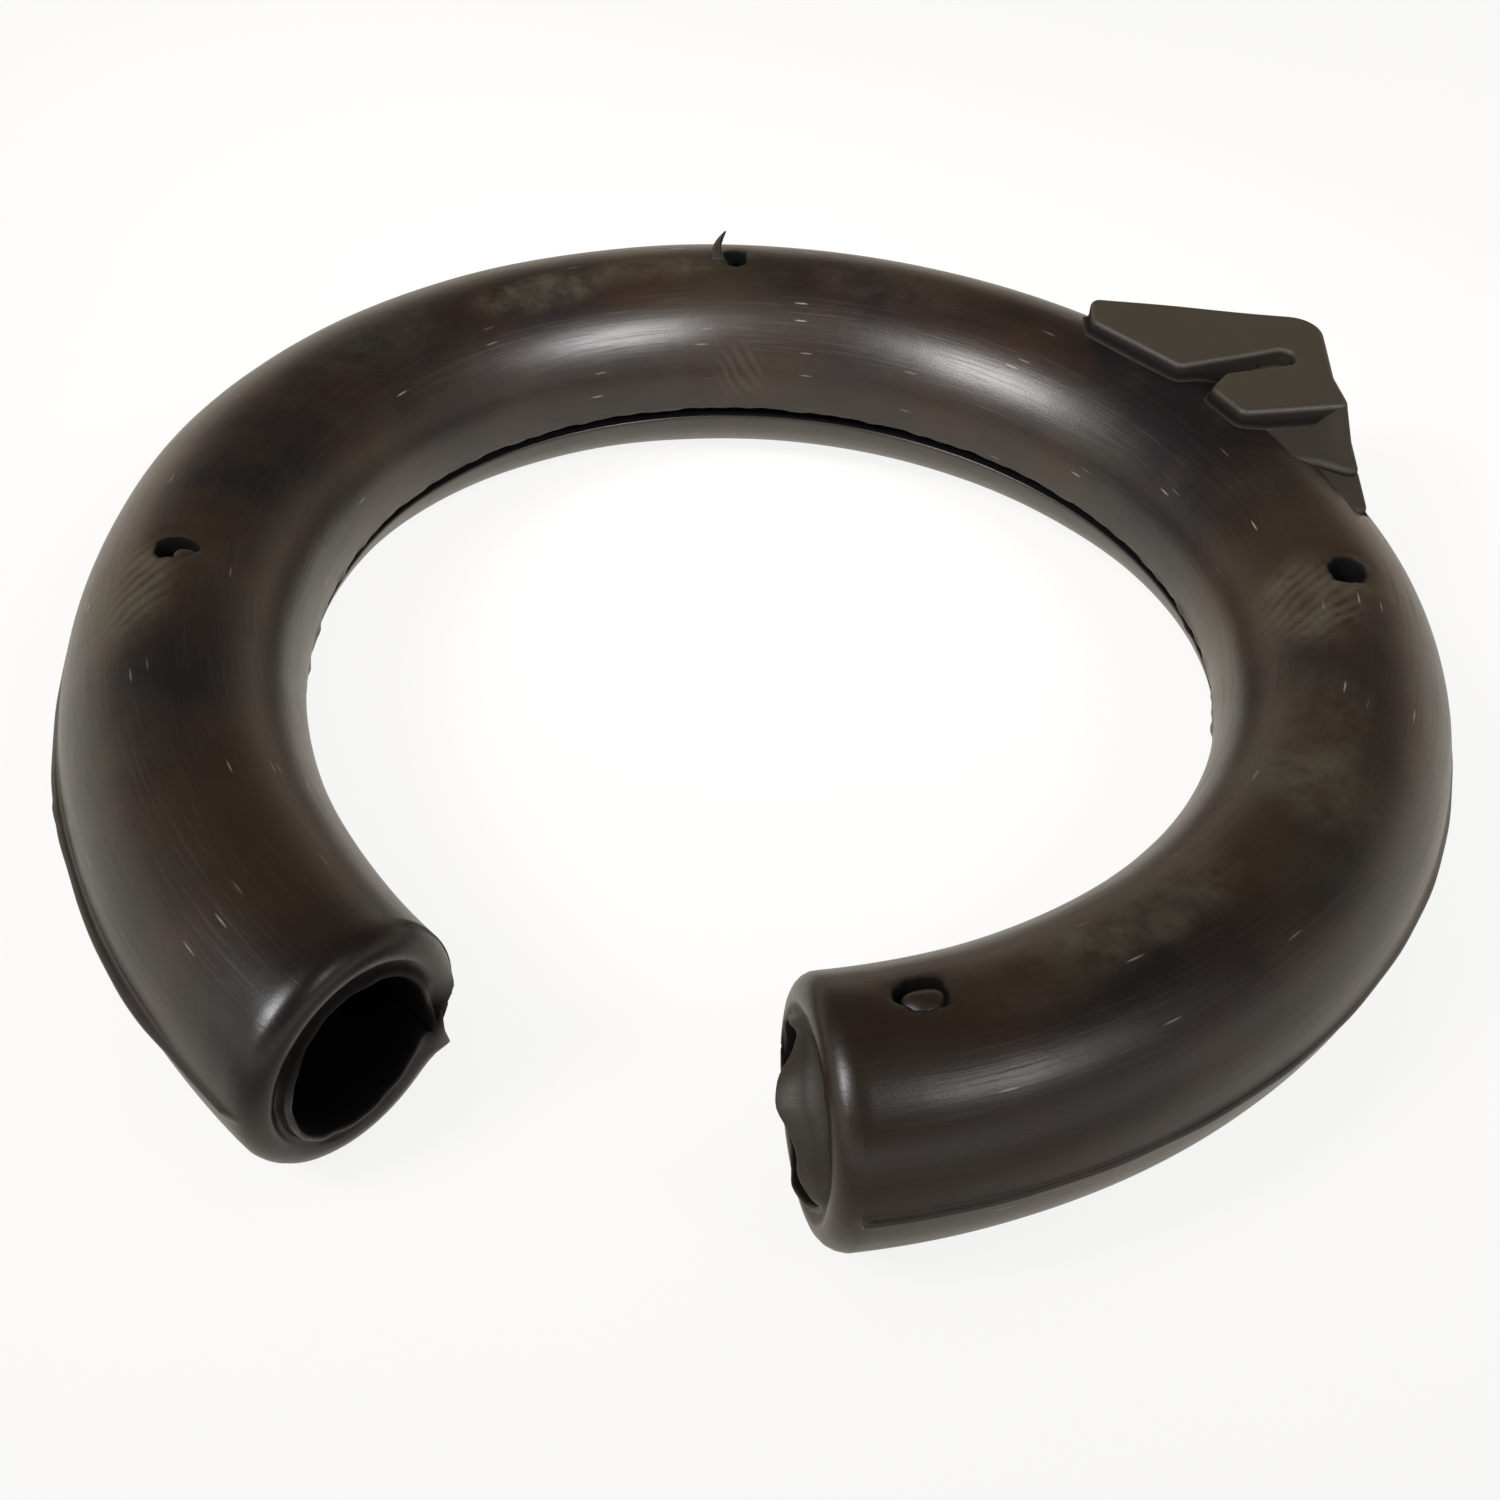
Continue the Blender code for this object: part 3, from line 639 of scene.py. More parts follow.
def ground(spots, slabs):
    """Height of what a block stands on: the round tube's top, or a slab where that is higher.

    The tube's height is the root of its radius squared less the offset from the centreline
    squared. Slabs are (x from, x to, y from, y to, height).
    """
    offset = np.hypot(spots[:, 0], spots[:, 1]) - COIL_RADIUS
    height = np.sqrt(np.maximum(TUBE_RADIUS ** 2 - offset ** 2, 0.0))
    height = np.where(np.abs(offset) < TUBE_RADIUS, height, LUG_UNDERSIDE)
    for x_from, x_to, y_from, y_to, top in slabs:
        inside = (spots[:, 0] > x_from) & (spots[:, 0] < x_to)
        inside = inside & (spots[:, 1] > y_from) & (spots[:, 1] < y_to)
        height = np.where(inside, np.maximum(height, top), height)
    return height


def raised_block(outline, top, slabs, fillet=FILLET):
    """Rows of one raised block: flat top, rounded edge, wall with draft, hollow fillet and foot.

    The edge is a quarter circle turned outwards and the fillet one turned inwards, both on the
    outline's normals. The fillet fades out where the wall stands clear of the tube.
    """
    normal = outward(outline)
    spots = []
    heights = []
    for inset in (EDGE + 0.5, EDGE + 0.06):
        spots.append(outline - normal * inset)
        heights.append(top(spots[-1]))
    for degrees in (0.0, 18.0, 36.0, 54.0, 72.0, 90.0):
        angle = math.radians(degrees)
        spots.append(outline - normal * EDGE * (1.0 - math.sin(angle)))
        heights.append(top(spots[-1]) - EDGE * (1.0 - math.cos(angle)))
    edge_foot = heights[-1]
    offset = np.hypot(outline[:, 0], outline[:, 1]) - COIL_RADIUS
    foot = ground(outline, slabs)
    standing = np.where(foot > FILLET_FADE[0], 1.0, 1.0 - rise(offset, *FILLET_FADE))
    size = np.minimum(fillet * standing, np.maximum(edge_foot - foot - 0.05, 0.02))
    for degrees in (0.0, 22.0, 45.0, 68.0, 90.0):
        angle = math.radians(degrees)
        spot = outline + normal * (size * (1.0 - math.cos(angle)))[:, None]
        spots.append(spot)
        heights.append(np.minimum(ground(spot, slabs) + size * (1.0 - math.sin(angle)), edge_foot))
    spots.append(spots[-1] + normal * SINK)
    heights.append(ground(spots[-2], slabs) - SINK)
    distance = np.hypot(outline[:, 0], outline[:, 1])
    inward = outline - normal * 1.1
    pulled = outline * (np.minimum(distance, COIL_RADIUS + CLEAR_FOOT_REACH) / distance)[:, None]
    clear = (offset > TUBE_RADIUS - 1.6)[:, None]
    spots.append(np.where(clear, pulled, inward))
    deep = np.where(clear[:, 0], LUG_UNDERSIDE - SINK, ground(inward, ()) - 1.4)
    heights.append(np.maximum(deep, LUG_UNDERSIDE - SINK))
    return np.concatenate([np.array(spots), np.array(heights)[:, :, None]], axis=2)


def ramp_patch(back, low, high):
    """Grid of the ramp beside the front rib: it rises to the back and to the right, all smoothly.

    Height is the low level plus the difference times a linear share of the way back times a
    smooth step to the right. A quarter circle rounds the outer edge, and the border drops down.
    """
    y, x = np.meshgrid(np.linspace(back - RAMP_LENGTH, back, 26), np.linspace(0.0, 1.0, 30),
                       indexing="ij")
    outer = STEP_SIDE - EDGE / 2.0
    x = outer - RAMP_WIDTH * (1.0 - x ** 0.6)
    share = (y - back + RAMP_LENGTH) / RAMP_LENGTH
    height = low + (high - low) * share * rise(x, outer - RAMP_WIDTH, outer - EDGE)
    over = np.clip((x - outer + EDGE) / EDGE, 0.0, 1.0)
    height = height - EDGE * (1.0 - np.sqrt(1.0 - over ** 2))
    grid = np.stack([x, y, height - 0.02], axis=-1)
    grid = np.concatenate([grid[:1], grid, grid[-1:]])
    grid = np.concatenate([grid[:, :1], grid, grid[:, -1:]], axis=1)
    grid[[0, -1], :, 2] = low - 2.0
    grid[:, [0, -1], 2] = low - 2.0
    return grid


def build_lug(sizes):
    """The lug: ribs round a blind groove, a ramp beside them, a lower step and a small toe.

    Each is a closed shell of its own on a rounded outline. Their feet sink into the sleeve's wall.
    """
    rib_top = TUBE_RADIUS + sizes.rib_rise / MM
    rim_inner = LUG_SIDE - RIM_WIDTH
    bulge_side = LUG_SIDE + LUG_BULGE
    back_start, elbow = [on_coil(bearing) for bearing in BACK_RIB_BEARINGS]
    front_start, nose = [on_coil(bearing) for bearing in FRONT_RIB_BEARINGS]
    groove_back = towards(elbow, BACK_RIB_FRONT_SLOPE, rim_inner - elbow[0])
    rib_back = towards(front_start, FRONT_RIB_END_SLOPE, FRONT_RIB_END_RUN)
    groove_front = towards(rib_back, FRONT_RIB_BACK_SLOPE, rim_inner - rib_back[0])
    rib_front = towards(nose, FRONT_RIB_FRONT_SLOPE, bulge_side - nose[0])
    ribs = rounded([
        (LUG_LEFT, LUG_BACK, RIB_CORNER), (*back_start, RIB_CORNER), (*elbow, RIB_CORNER),
        (*groove_back, GROOVE_END), (*groove_front, GROOVE_END), (*rib_back, RIB_CORNER),
        (*front_start, RIB_CORNER), (*nose, RIB_CORNER), (*rib_front, EDGE),
        (bulge_side, LUG_BULGE_SPAN[0], EDGE), (LUG_SIDE, LUG_BULGE_SPAN[1], RIB_CORNER),
        (LUG_SIDE, LUG_BACK, LUG_CORNER),
    ])
    step = rounded([
        (STEP_INNER_EDGE, STEP_BACK, RIB_CORNER), (STEP_INNER_EDGE, STEP_FRONT, RIB_CORNER),
        (STEP_FRONT_BEND, STEP_FRONT, RIB_CORNER), (STEP_SIDE, STEP_FRONT_AT_SIDE, RIB_CORNER),
        (STEP_SIDE, rib_front[1], EDGE), (LUG_SIDE - EDGE, STEP_BACK, RIB_CORNER),
    ])
    toe = rounded([
        (TOE_INNER_EDGE, TOE_BACK, RIB_CORNER), (TOE_INNER_EDGE, TOE_FRONT, RIB_CORNER),
        (TOE_SIDE, TOE_FRONT, TOE_CORNER), (TOE_SIDE, TOE_BACK, RIB_CORNER),
    ])

    def level(height):
        return lambda spots: np.full(len(spots), height) + 0.05 * np.sin(spots[:, 0] * 0.31)

    shells = [
        raised_block(ribs, level(rib_top), (STEP_PLATE,)),
        raised_block(step, level(STEP_TOP), (TOE_PLATE,), LOW_FILLET),
        raised_block(toe, level(TOE_TOP), (), LOW_FILLET),
    ]
    # Painted shade in the creases: the dark torn tone on the lower part of each block's rounded edge,
    # on its wall and in the fillet at its foot. The step, the toe and the ramp carry a little of the
    # same tone all over.
    shade_by_row = np.array([0.0] * 5 + [0.1, 0.3, 0.6, 0.8, 0.9, 0.9, 0.7, 0.4, 0.3, 0.3])
    points = []
    quads = []
    caps = []
    shares = []
    used = 0
    for rows, middle, least in zip(shells, DEEP_MIDDLES, (0.0, 0.25, 0.3)):
        count = rows.shape[1]
        ids = np.arange(used, used + rows.shape[0] * count).reshape(rows.shape[0], count)
        quads.append(loop_faces(ids).reshape(-1, 4))
        points += [rows.reshape(-1, 3), np.array([middle])]
        shares += [np.repeat(np.maximum(shade_by_row, least), count), np.zeros(1)]
        used += rows.shape[0] * count + 1
        caps.append(ids[0])
        for first, second in zip(ids[-1], np.roll(ids[-1], -1)):
            caps.append(np.array([first, second, used - 1]))
    ramp = ramp_patch(rib_front[1] + RIB_CORNER, STEP_TOP, rib_top)
    ids = np.arange(used, used + ramp.shape[0] * ramp.shape[1]).reshape(ramp.shape[:2])
    quads.append(np.stack([ids[:-1, :-1], ids[1:, :-1], ids[1:, 1:], ids[:-1, 1:]],
                          axis=-1).reshape(-1, 4))
    caps.append(np.concatenate([ids[:, 0], ids[-1, 1:], ids[-2::-1, -1], ids[0, -2:0:-1]]))
    points.append(ramp.reshape(-1, 3))
    shares.append(np.full(ids.size, 0.25))
    points = np.concatenate(points)
    attributes = {"lay": points * MM, "matt": np.ones(len(points)), "torn": np.concatenate(shares)}
    return add_mesh("insulator_lug", points, np.concatenate(quads), attributes, caps)


# The nib: place along, depth of its root, radius of its stem and lean of its tip
NIB_PLACE = 11.1
NIB_ROOT = 1.0
NIB_RADIUS = 0.95
NIB_LEAN = 0.75


def build_nib(sizes):
    """The nib: circles of shrinking radius on a stem that leans more and more with its height."""
    height = sizes.nib_height / MM
    share = np.linspace(0.0, 1.0, 26)[:, None]
    turn = np.linspace(0.0, 2.0 * math.pi, 28, endpoint=False)[None, :]
    foot = on_sleeve(NIB_PLACE, math.pi / 2.0, TUBE_RADIUS - NIB_ROOT)
    radius = NIB_RADIUS * np.sqrt(np.maximum(1.0 - share ** 1.5, 0.0)) * (1.0 - 0.62 * share)
    radius = radius + 0.5 * np.exp(-share / 0.12) + 0.06 * np.sin(turn * 3.0 + share * 9.0)
    radius = radius * (share < 1.0) + 0.03
    up = share * (height + NIB_ROOT)
    x = foot[0] + NIB_LEAN * share ** 2.6 - 0.3 * np.sin(share * math.pi) + radius * np.cos(turn)
    y = foot[1] + radius * 0.8 * np.sin(turn)
    points = np.stack([x, y, foot[2] + up + 0.0 * turn], axis=-1)
    ids = np.arange(points.shape[0] * points.shape[1]).reshape(points.shape[:2])
    points = points.reshape(-1, 3)
    faces = loop_faces(ids).reshape(-1, 4)
    return add_mesh("insulator_nib", points, faces, {"lay": points * MM}, (ids[0], ids[-1]))


def linear(code):
    """Linear colour of an sRGB hex value: each channel by the sRGB curve."""
    channels = np.array([int(code[i:i + 2], 16) for i in (1, 3, 5)]) / 255.0
    curve = np.where(channels <= 0.04045, channels / 12.92, ((channels + 0.055) / 1.055) ** 2.4)
    return (*curve.tolist(), 1.0)


# Sizes of the patterns on the rubber: width of one cell, and for streaks and flecks the size of a
# cell along the sleeve, round it and through it
CLOUD_WIDTH = 29.4 * MM
MIST_WIDTH = 17.86 * MM
BLOT_WIDTH = 3.846 * MM
UNEVEN_WIDTH = 7.143 * MM
GRAIN_WIDTH = 0.3571 * MM
RIDGE_GAP = 1.481 * MM
STREAK_CELL = (11.11 * MM, 0.303 * MM, 2.0 * MM)
FLECK_CELL = (16.13 * MM, 1.6667 * MM, 1.0)


def set_up(tree, node, settings):
    """Set a node's properties and input values, or link its inputs to other nodes.

    A node is linked by its first output in use, and a socket by itself.
    """
    for key, value in settings.items():
        if isinstance(key, str) and hasattr(node, key):
            setattr(node, key, value)
            continue
        if isinstance(value, bpy.types.Node):
            value = next(socket for socket in value.outputs if socket.enabled)
        if isinstance(value, bpy.types.NodeSocket):
            tree.links.new(value, node.inputs[key])
        else:
            node.inputs[key].default_value = value


def add_node(tree, kind, settings=None):
    """New shader node of a kind, with its settings and links."""
    node = tree.nodes.new("ShaderNode" + kind)
    set_up(tree, node, settings or {})
    return node


def moulded_rubber(looks):
    """Carbon-black natural rubber, compression moulded and handled.

    The eye sees a near-black skin, clouded from purplish black to brown, with broad satin
    highlights, long faint streaks along the sleeve, tiny pale lint flecks lying the same way, and
    dull olive smudges and finger marks where it was held. The lug's skin is plainly matt. The
    torn and cut surfaces in the bore, slit and holes are velvety black, with almost no shine; that
    black tone is partly painted shade, there and in the dished end faces and the lug's creases.
    """
    material = bpy.data.materials.new("moulded_black_rubber")
    material.use_nodes = True
    tree = material.node_tree
    place = add_node(tree, "TexCoord").outputs["Object"]
    lay = add_node(tree, "Attribute", {"attribute_name": "lay"}).outputs["Vector"]
    smudge, scuff, matt, torn_and_shade_part, open_part = [
        add_node(tree, "Attribute", {"attribute_name": key}).outputs["Fac"]
        for key in ("smudge", "scuff", "matt", "torn", "open")]

    # Clouds of brown on purplish black about 30 mm across, and a mist of olive about 18 mm across
    clouds = add_node(tree, "TexNoise", {"Scale": 1.0 / CLOUD_WIDTH, "Detail": 4.0,
                                         "Roughness": 0.55, "Vector": place})
    cloudy = add_node(tree, "MapRange", {"From Min": 0.42, "From Max": 0.6, "Value": clouds})
    mist = add_node(tree, "TexNoise", {"noise_dimensions": "4D", "W": 2.6, "Detail": 5.0,
                                       "Scale": 1.0 / MIST_WIDTH, "Roughness": 0.6,
                                       "Vector": place})
    misty = add_node(tree, "MapRange", {"From Min": 0.5, "From Max": 0.72, "To Max": 0.8,
                                        "Value": mist})

    # Smudges of dried grease, broken up into blots about 4 mm wide
    blots = add_node(tree, "TexNoise", {"Scale": 1.0 / BLOT_WIDTH, "Detail": 5.0,
                                        "Roughness": 0.68, "Vector": place})
    blotted = add_node(tree, "MapRange", {"From Min": 0.3, "From Max": 0.66, "Value": blots})
    smudged = add_node(tree, "Math", {"operation": "MULTIPLY", 0: smudge, 1: blotted})

    # Ridges of finger marks about 1.5 mm apart, lying aslant, only where a mark was painted. The
    # node's diagonal bands repeat after a fifth of pi in the sum of both ways
    ridges = add_node(tree, "TexWave", {"bands_direction": "DIAGONAL", "Distortion": 5.0,
                                        "Scale": 0.2 * math.pi / (RIDGE_GAP * math.sqrt(2.0)),
                                        "Detail": 1.5, "Detail Scale": 0.5, "Vector": lay})
    marked = add_node(tree, "Math", {"operation": "MULTIPLY", 0: ridges.outputs["Fac"], 1: scuff})
    faint = add_node(tree, "Math", {"operation": "MULTIPLY", 0: marked, 1: 0.85})

    # Streaks 0.3 mm wide and some 10 mm long, lying along the sleeve
    combed = add_node(tree, "Mapping", {"Scale": [1.0 / size for size in STREAK_CELL],
                                        "Vector": lay})
    hairs = add_node(tree, "TexNoise", {"Scale": 1.0, "Detail": 2.0, "Vector": combed})
    streaks = add_node(tree, "MapRange", {"From Min": 0.52, "From Max": 0.78, "Value": hairs})

    # Lint flecks about 2 mm long and 0.2 mm wide, lying along the sleeve too, in a few cells only
    stretched = add_node(tree, "Mapping", {"Scale": [1.0 / size for size in FLECK_CELL],
                                           "Vector": lay})
    cells = add_node(tree, "TexVoronoi", {"voronoi_dimensions": "2D", "Scale": 1.0,
                                          "Vector": stretched})
    near = add_node(tree, "MapRange", {"From Min": 0.075, "From Max": 0.03,
                                       "Value": cells.outputs["Distance"]})
    chosen = add_node(tree, "SeparateColor", {0: cells.outputs["Color"]})
    few = add_node(tree, "MapRange", {"From Min": 0.8, "From Max": 1.2, "Value": chosen})
    bright = add_node(tree, "Math", {"operation": "MULTIPLY", 0: near, 1: few})
    flecks = add_node(tree, "Math", {"operation": "MULTIPLY", 0: bright, 1: open_part})

    # Tone: each coat lies over those before it. The lug's matt skin lets the clouds show through. The
    # last coat, the dark torn tone, is partly painted shade in the bore, slit, holes, end faces and
    # the lug's creases
    skin_share = add_node(tree, "Math", {"operation": "MULTIPLY", 0: matt, 1: 0.72})
    tone = linear(looks.rubber)
    for share, code in ((cloudy, looks.rubber_brown), (misty, looks.rubber_olive),
                        (skin_share, looks.matt_rubber), (smudged, looks.smudge),
                        (faint, looks.smudge), (flecks, looks.fleck),
                        (torn_and_shade_part, looks.torn_and_shaded_rubber)):
        tone = add_node(tree, "Mix", {"data_type": "RGBA", 0: share, 6: tone, 7: linear(code)})
    shine = add_node(tree, "MapRange", {"To Min": 0.5, "To Max": 0.06, "Value": torn_and_shade_part})

    # Roughness: satin skin, duller in smudges, finger marks and streaks, on the lug and where torn
    rough = add_node(tree, "MapRange", {"To Min": 0.3, "To Max": 0.37, "Value": blots})
    for share, more in ((smudged, 0.22), (marked, 0.15), (streaks, 0.12), (matt, 0.19),
                        (torn_and_shade_part, 0.5)):
        rough = add_node(tree, "Math", {"operation": "MULTIPLY_ADD", 0: share, 1: more, 2: rough})

    # Relief: slow unevenness about 7 mm wide, mould grain about 0.35 mm wide, and the streaks
    slow = add_node(tree, "TexNoise", {"Scale": 1.0 / UNEVEN_WIDTH, "Detail": 2.0,
                                       "Vector": place})
    grain = add_node(tree, "TexNoise", {"Scale": 1.0 / GRAIN_WIDTH, "Detail": 2.0,
                                        "Vector": place})
    relief = add_node(tree, "Bump", {"Strength": 0.3, "Distance": 0.2 * MM, "Height": slow})
    for height, strength, distance in ((grain, 0.14, 0.06 * MM), (streaks, 0.12, 0.05 * MM)):
        relief = add_node(tree, "Bump", {"Strength": strength, "Distance": distance,
                                         "Height": height, "Normal": relief})
    set_up(tree, tree.nodes["Principled BSDF"],
           {"Base Color": tone, "Specular IOR Level": shine, "Roughness": rough,
            "Normal": relief, "Metallic": 0.0, "IOR": 1.58})
    return material


# Half the floor's side in metres
FLOOR_REACH = 3.0

# Places along Y in metres between which the floor darkens towards the front in reflections
SHADE_FULL = -0.115
SHADE_NONE = -0.055


def studio_floor(code, shade):
    """Matt warm white paper. What the camera sees of it is mostly plain white, with pale shadows.

    Reflections see the same white at the back and sides, and the photographer's shade in front.
    """
    material = bpy.data.materials.new("warm_white_paper")
    material.use_nodes = True
    tree = material.node_tree
    paper = tree.nodes["Principled BSDF"]
    set_up(tree, paper, {"Base Color": linear(code), "Roughness": 0.9, "Specular IOR Level": 0.0})
    path = add_node(tree, "LightPath").outputs
    place = add_node(tree, "TexCoord").outputs["Object"]
    spot = add_node(tree, "SeparateXYZ", {0: place})
    front = add_node(tree, "MapRange", {"interpolation_type": "SMOOTHSTEP", "From Min": SHADE_FULL,
                                        "From Max": SHADE_NONE, "To Min": shade, "To Max": 1.0,
                                        "Value": spot.outputs["Y"]})
    level = add_node(tree, "Mix", {0: path["Is Camera Ray"], 2: front, 3: 1.0})
    tint = add_node(tree, "Mix", {"data_type": "RGBA", 0: path["Is Camera Ray"], 6: linear(code),
                                  7: (1.0, 1.0, 1.0, 1.0)})
    white = add_node(tree, "Emission", {"Color": tint, "Strength": level})
    seen = add_node(tree, "Math", {"operation": "MAXIMUM", 0: path["Is Camera Ray"],
                                   1: path["Is Glossy Ray"]})
    share = add_node(tree, "Math", {"operation": "MULTIPLY", 0: seen, 1: 0.86})
    mixed = add_node(tree, "MixShader", {0: share, 1: paper, 2: white})
    set_up(tree, tree.nodes["Material Output"], {"Surface": mixed})
    return material


def white_surround(grey, ceiling, code):
    """World: white for the camera and grey for what lights the rubber.

    Reflections see it light at the horizon, cream behind the part, and falling smoothly to a dim
    ceiling above.
    """
    world = bpy.data.worlds.new("white_surround")
    bpy.context.scene.world = world
    world.use_nodes = True
    tree = world.node_tree
    path = add_node(tree, "LightPath").outputs
    way = add_node(tree, "TexCoord").outputs["Object"]
    upward = add_node(tree, "SeparateXYZ", {0: way}).outputs
    sweep = add_node(tree, "MapRange", {"interpolation_type": "SMOOTHSTEP", "From Min": 0.05,
                                        "From Max": 0.45, "To Min": 1.0, "To Max": ceiling,
                                        "Value": upward["Z"]})
    shown = add_node(tree, "Mix", {0: path["Is Glossy Ray"], 2: grey, 3: sweep})
    seen = add_node(tree, "Math", {"operation": "MAXIMUM", 0: path["Is Camera Ray"],
                                   1: path["Is Transmission Ray"]})
    level = add_node(tree, "Math", {"operation": "MAXIMUM", 0: seen, 1: shown})
    behind = add_node(tree, "MapRange", {"From Min": -0.4, "From Max": 0.1, "Value": upward["Y"]})
    creamy = add_node(tree, "Math", {"operation": "MULTIPLY", 0: path["Is Glossy Ray"], 1: behind})
    tint = add_node(tree, "Mix", {"data_type": "RGBA", 0: creamy, 6: (1.0, 1.0, 1.0, 1.0),
                                  7: linear(code)})
    set_up(tree, tree.nodes["Background"], {"Color": tint, "Strength": level})


# Softboxes: point aimed at in metres, then bearing, elevation and spread of the beam in degrees
SOFTBOX_WIDTH = 0.14
SOFTBOX_HEIGHT = 0.21
SOFTBOX_DISTANCE = 0.42
SOFTBOXES = {
    "softbox_right": ((-0.055, 0.11, 0.02), 133.0, 41.0, 32.0),
    "softbox_left": ((0.03, 0.055, 0.02), -128.0, 40.0, 44.0),
}


def add_softbox(name, power):
    """Upright softbox with a grid, on a sphere round the point that it is aimed at.

    The grid narrows its beam, so that the sleeve's front stays dim.
    """
    aim, bearing, elevation, spread = SOFTBOXES[name]
    lamp = bpy.data.lights.new(name, "AREA")
    lamp.spread = math.radians(spread)
    lamp.shape = "RECTANGLE"
    lamp.size = SOFTBOX_WIDTH
    lamp.size_y = SOFTBOX_HEIGHT
    lamp.energy = power
    made = bpy.data.objects.new(name, lamp)
    bpy.context.scene.collection.objects.link(made)
    a = math.radians(bearing)
    e = math.radians(elevation)
    reach = Vector((math.sin(a) * math.cos(e), math.cos(a) * math.cos(e), math.sin(e)))
    made.location = Vector(aim) + reach * SOFTBOX_DISTANCE
    made.rotation_euler = (-reach).to_track_quat("-Z", "Y").to_euler()


# Camera fitted to the photo's outlines: turns in radians, focal length in the photo's pixels, and
# place from the ring's centre in metres
CAMERA_PAN = -0.0053
CAMERA_TILT = 0.7127
CAMERA_ROLL = 0.0889
FOCAL_PIXELS = 2291.7
CAMERA_PLACE = (0.0, -0.201265, 0.156755)
SENSOR_WIDTH = 36.0


def add_camera():
    """Camera of the photo: it looks ahead by pan and tilt, and its upright is turned by the roll."""
    sideways = Vector((math.cos(CAMERA_PAN), -math.sin(CAMERA_PAN), 0.0))
    ahead = Vector((math.sin(CAMERA_PAN) * math.cos(CAMERA_TILT),
                    math.cos(CAMERA_PAN) * math.cos(CAMERA_TILT), -math.sin(CAMERA_TILT)))
    upright = sideways.cross(ahead)
    right = sideways * math.cos(CAMERA_ROLL) + upright * math.sin(CAMERA_ROLL)
    up = upright * math.cos(CAMERA_ROLL) - sideways * math.sin(CAMERA_ROLL)
    lens = bpy.data.cameras.new("camera")
    lens.sensor_width = SENSOR_WIDTH
    lens.lens = FOCAL_PIXELS / PHOTO_SIDE * SENSOR_WIDTH
    lens.clip_start = 0.01
    made = bpy.data.objects.new("camera", lens)
    bpy.context.scene.collection.objects.link(made)
    place = Matrix.Translation(Vector(RING_CENTRE * MM) + Vector(CAMERA_PLACE))
    made.matrix_world = place @ Matrix((right, up, -ahead)).transposed().to_4x4()
    bpy.context.scene.camera = made


class SleeveSizes(bpy.types.PropertyGroup):
    """Sizes that a user may change on the rubber."""

    slit_width: bpy.props.FloatProperty(
        name="Slit width", description="Width of the slit along the inner side, at the back",
        default=SLIT_WIDTH * MM, min=0.0006, max=0.004, precision=4, unit="LENGTH")
    flash_depth: bpy.props.FloatProperty(
        name="Flash depth", description="Depth of the fin of flash round the outer side",
        default=FLASH_DEPTH * MM, min=0.0, max=0.002, precision=4, unit="LENGTH")
    rib_rise: bpy.props.FloatProperty(
        name="Rib rise", description="Height of the lug's ribs above the sleeve's top",
        default=0.002, min=0.001, max=0.005, precision=4, unit="LENGTH")
    nib_height: bpy.props.FloatProperty(
        name="Nib height", description="Height of the nib beside the back pin hole",
        default=0.0038, min=0.001, max=0.008, precision=4, unit="LENGTH")


class Looks(bpy.types.PropertyGroup):
    """Colours of the rubber and levels of the stage."""

    rubber: bpy.props.StringProperty(
        name="Rubber", description="Darkest tone of the rubber, as sRGB hex", default="#110d0f")
    rubber_brown: bpy.props.StringProperty(
        name="Rubber, brown", description="Browner tone of the rubber, as sRGB hex", default="#281b11")
    rubber_olive: bpy.props.StringProperty(
        name="Rubber, olive", description="Olive tone of the rubber, as sRGB hex", default="#2a251c")
    matt_rubber: bpy.props.StringProperty(
        name="Rubber, matt", description="Tone of the lug's matt skin, as sRGB hex", default="#352e22")
    # The torn tone is also painted shade in the bore, slit, holes, dished end faces and the lug's
    # creases
    torn_and_shaded_rubber: bpy.props.StringProperty(
        name="Rubber, torn", description="Tone of torn and cut faces, as sRGB hex", default="#0c0b0b")
    smudge: bpy.props.StringProperty(
        name="Smudge", description="Tone of the handling smudges, as sRGB hex", default="#463f30")
    fleck: bpy.props.StringProperty(
        name="Fleck", description="Tone of the lint flecks, as sRGB hex", default="#a39d92")
    floor: bpy.props.StringProperty(
        name="Floor", description="Tone of the paper floor, as sRGB hex", default="#f7f0e3")
    walls: bpy.props.StringProperty(
        name="Walls", description="Tone of the walls in reflections, as sRGB hex", default="#f5e4cd")
    world_level: bpy.props.FloatProperty(
        name="World level", description="Grey level of the surround as a light", default=0.45)
    ceiling_level: bpy.props.FloatProperty(
        name="Ceiling level", description="Level of the ceiling in reflections", default=0.06)
    front_shade: bpy.props.FloatProperty(
        name="Front shade", description="Level of the floor's front in reflections", default=0.25)
    right_power: bpy.props.FloatProperty(
        name="Right power", description="Power of the right softbox", default=0.09, unit="POWER")
    left_power: bpy.props.FloatProperty(
        name="Left power", description="Power of the left softbox", default=0.15, unit="POWER")


def dress(piece):
    """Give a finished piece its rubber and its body."""
    material = bpy.data.materials.get("moulded_black_rubber")
    if material is None:
        material = moulded_rubber(bpy.context.scene.insulator_looks)
    piece.data.materials.append(material)
    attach(piece, "root")
    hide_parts("spring_insulator")


class INSULATOR_OT_sleeve(bpy.types.Operator):
    """Make the sleeve with its bore, slit, flash, end faces and pin holes"""

    bl_idname = "insulator.sleeve"
    bl_label = "Make sleeve"

    def execute(self, context):
        dress(build_sleeve(context.scene.insulator_sizes))
        return {"FINISHED"}


class INSULATOR_OT_lug(bpy.types.Operator):
    """Make the ribbed corner lug"""

    bl_idname = "insulator.lug"
    bl_label = "Make lug"

    def execute(self, context):
        dress(build_lug(context.scene.insulator_sizes))
        return {"FINISHED"}


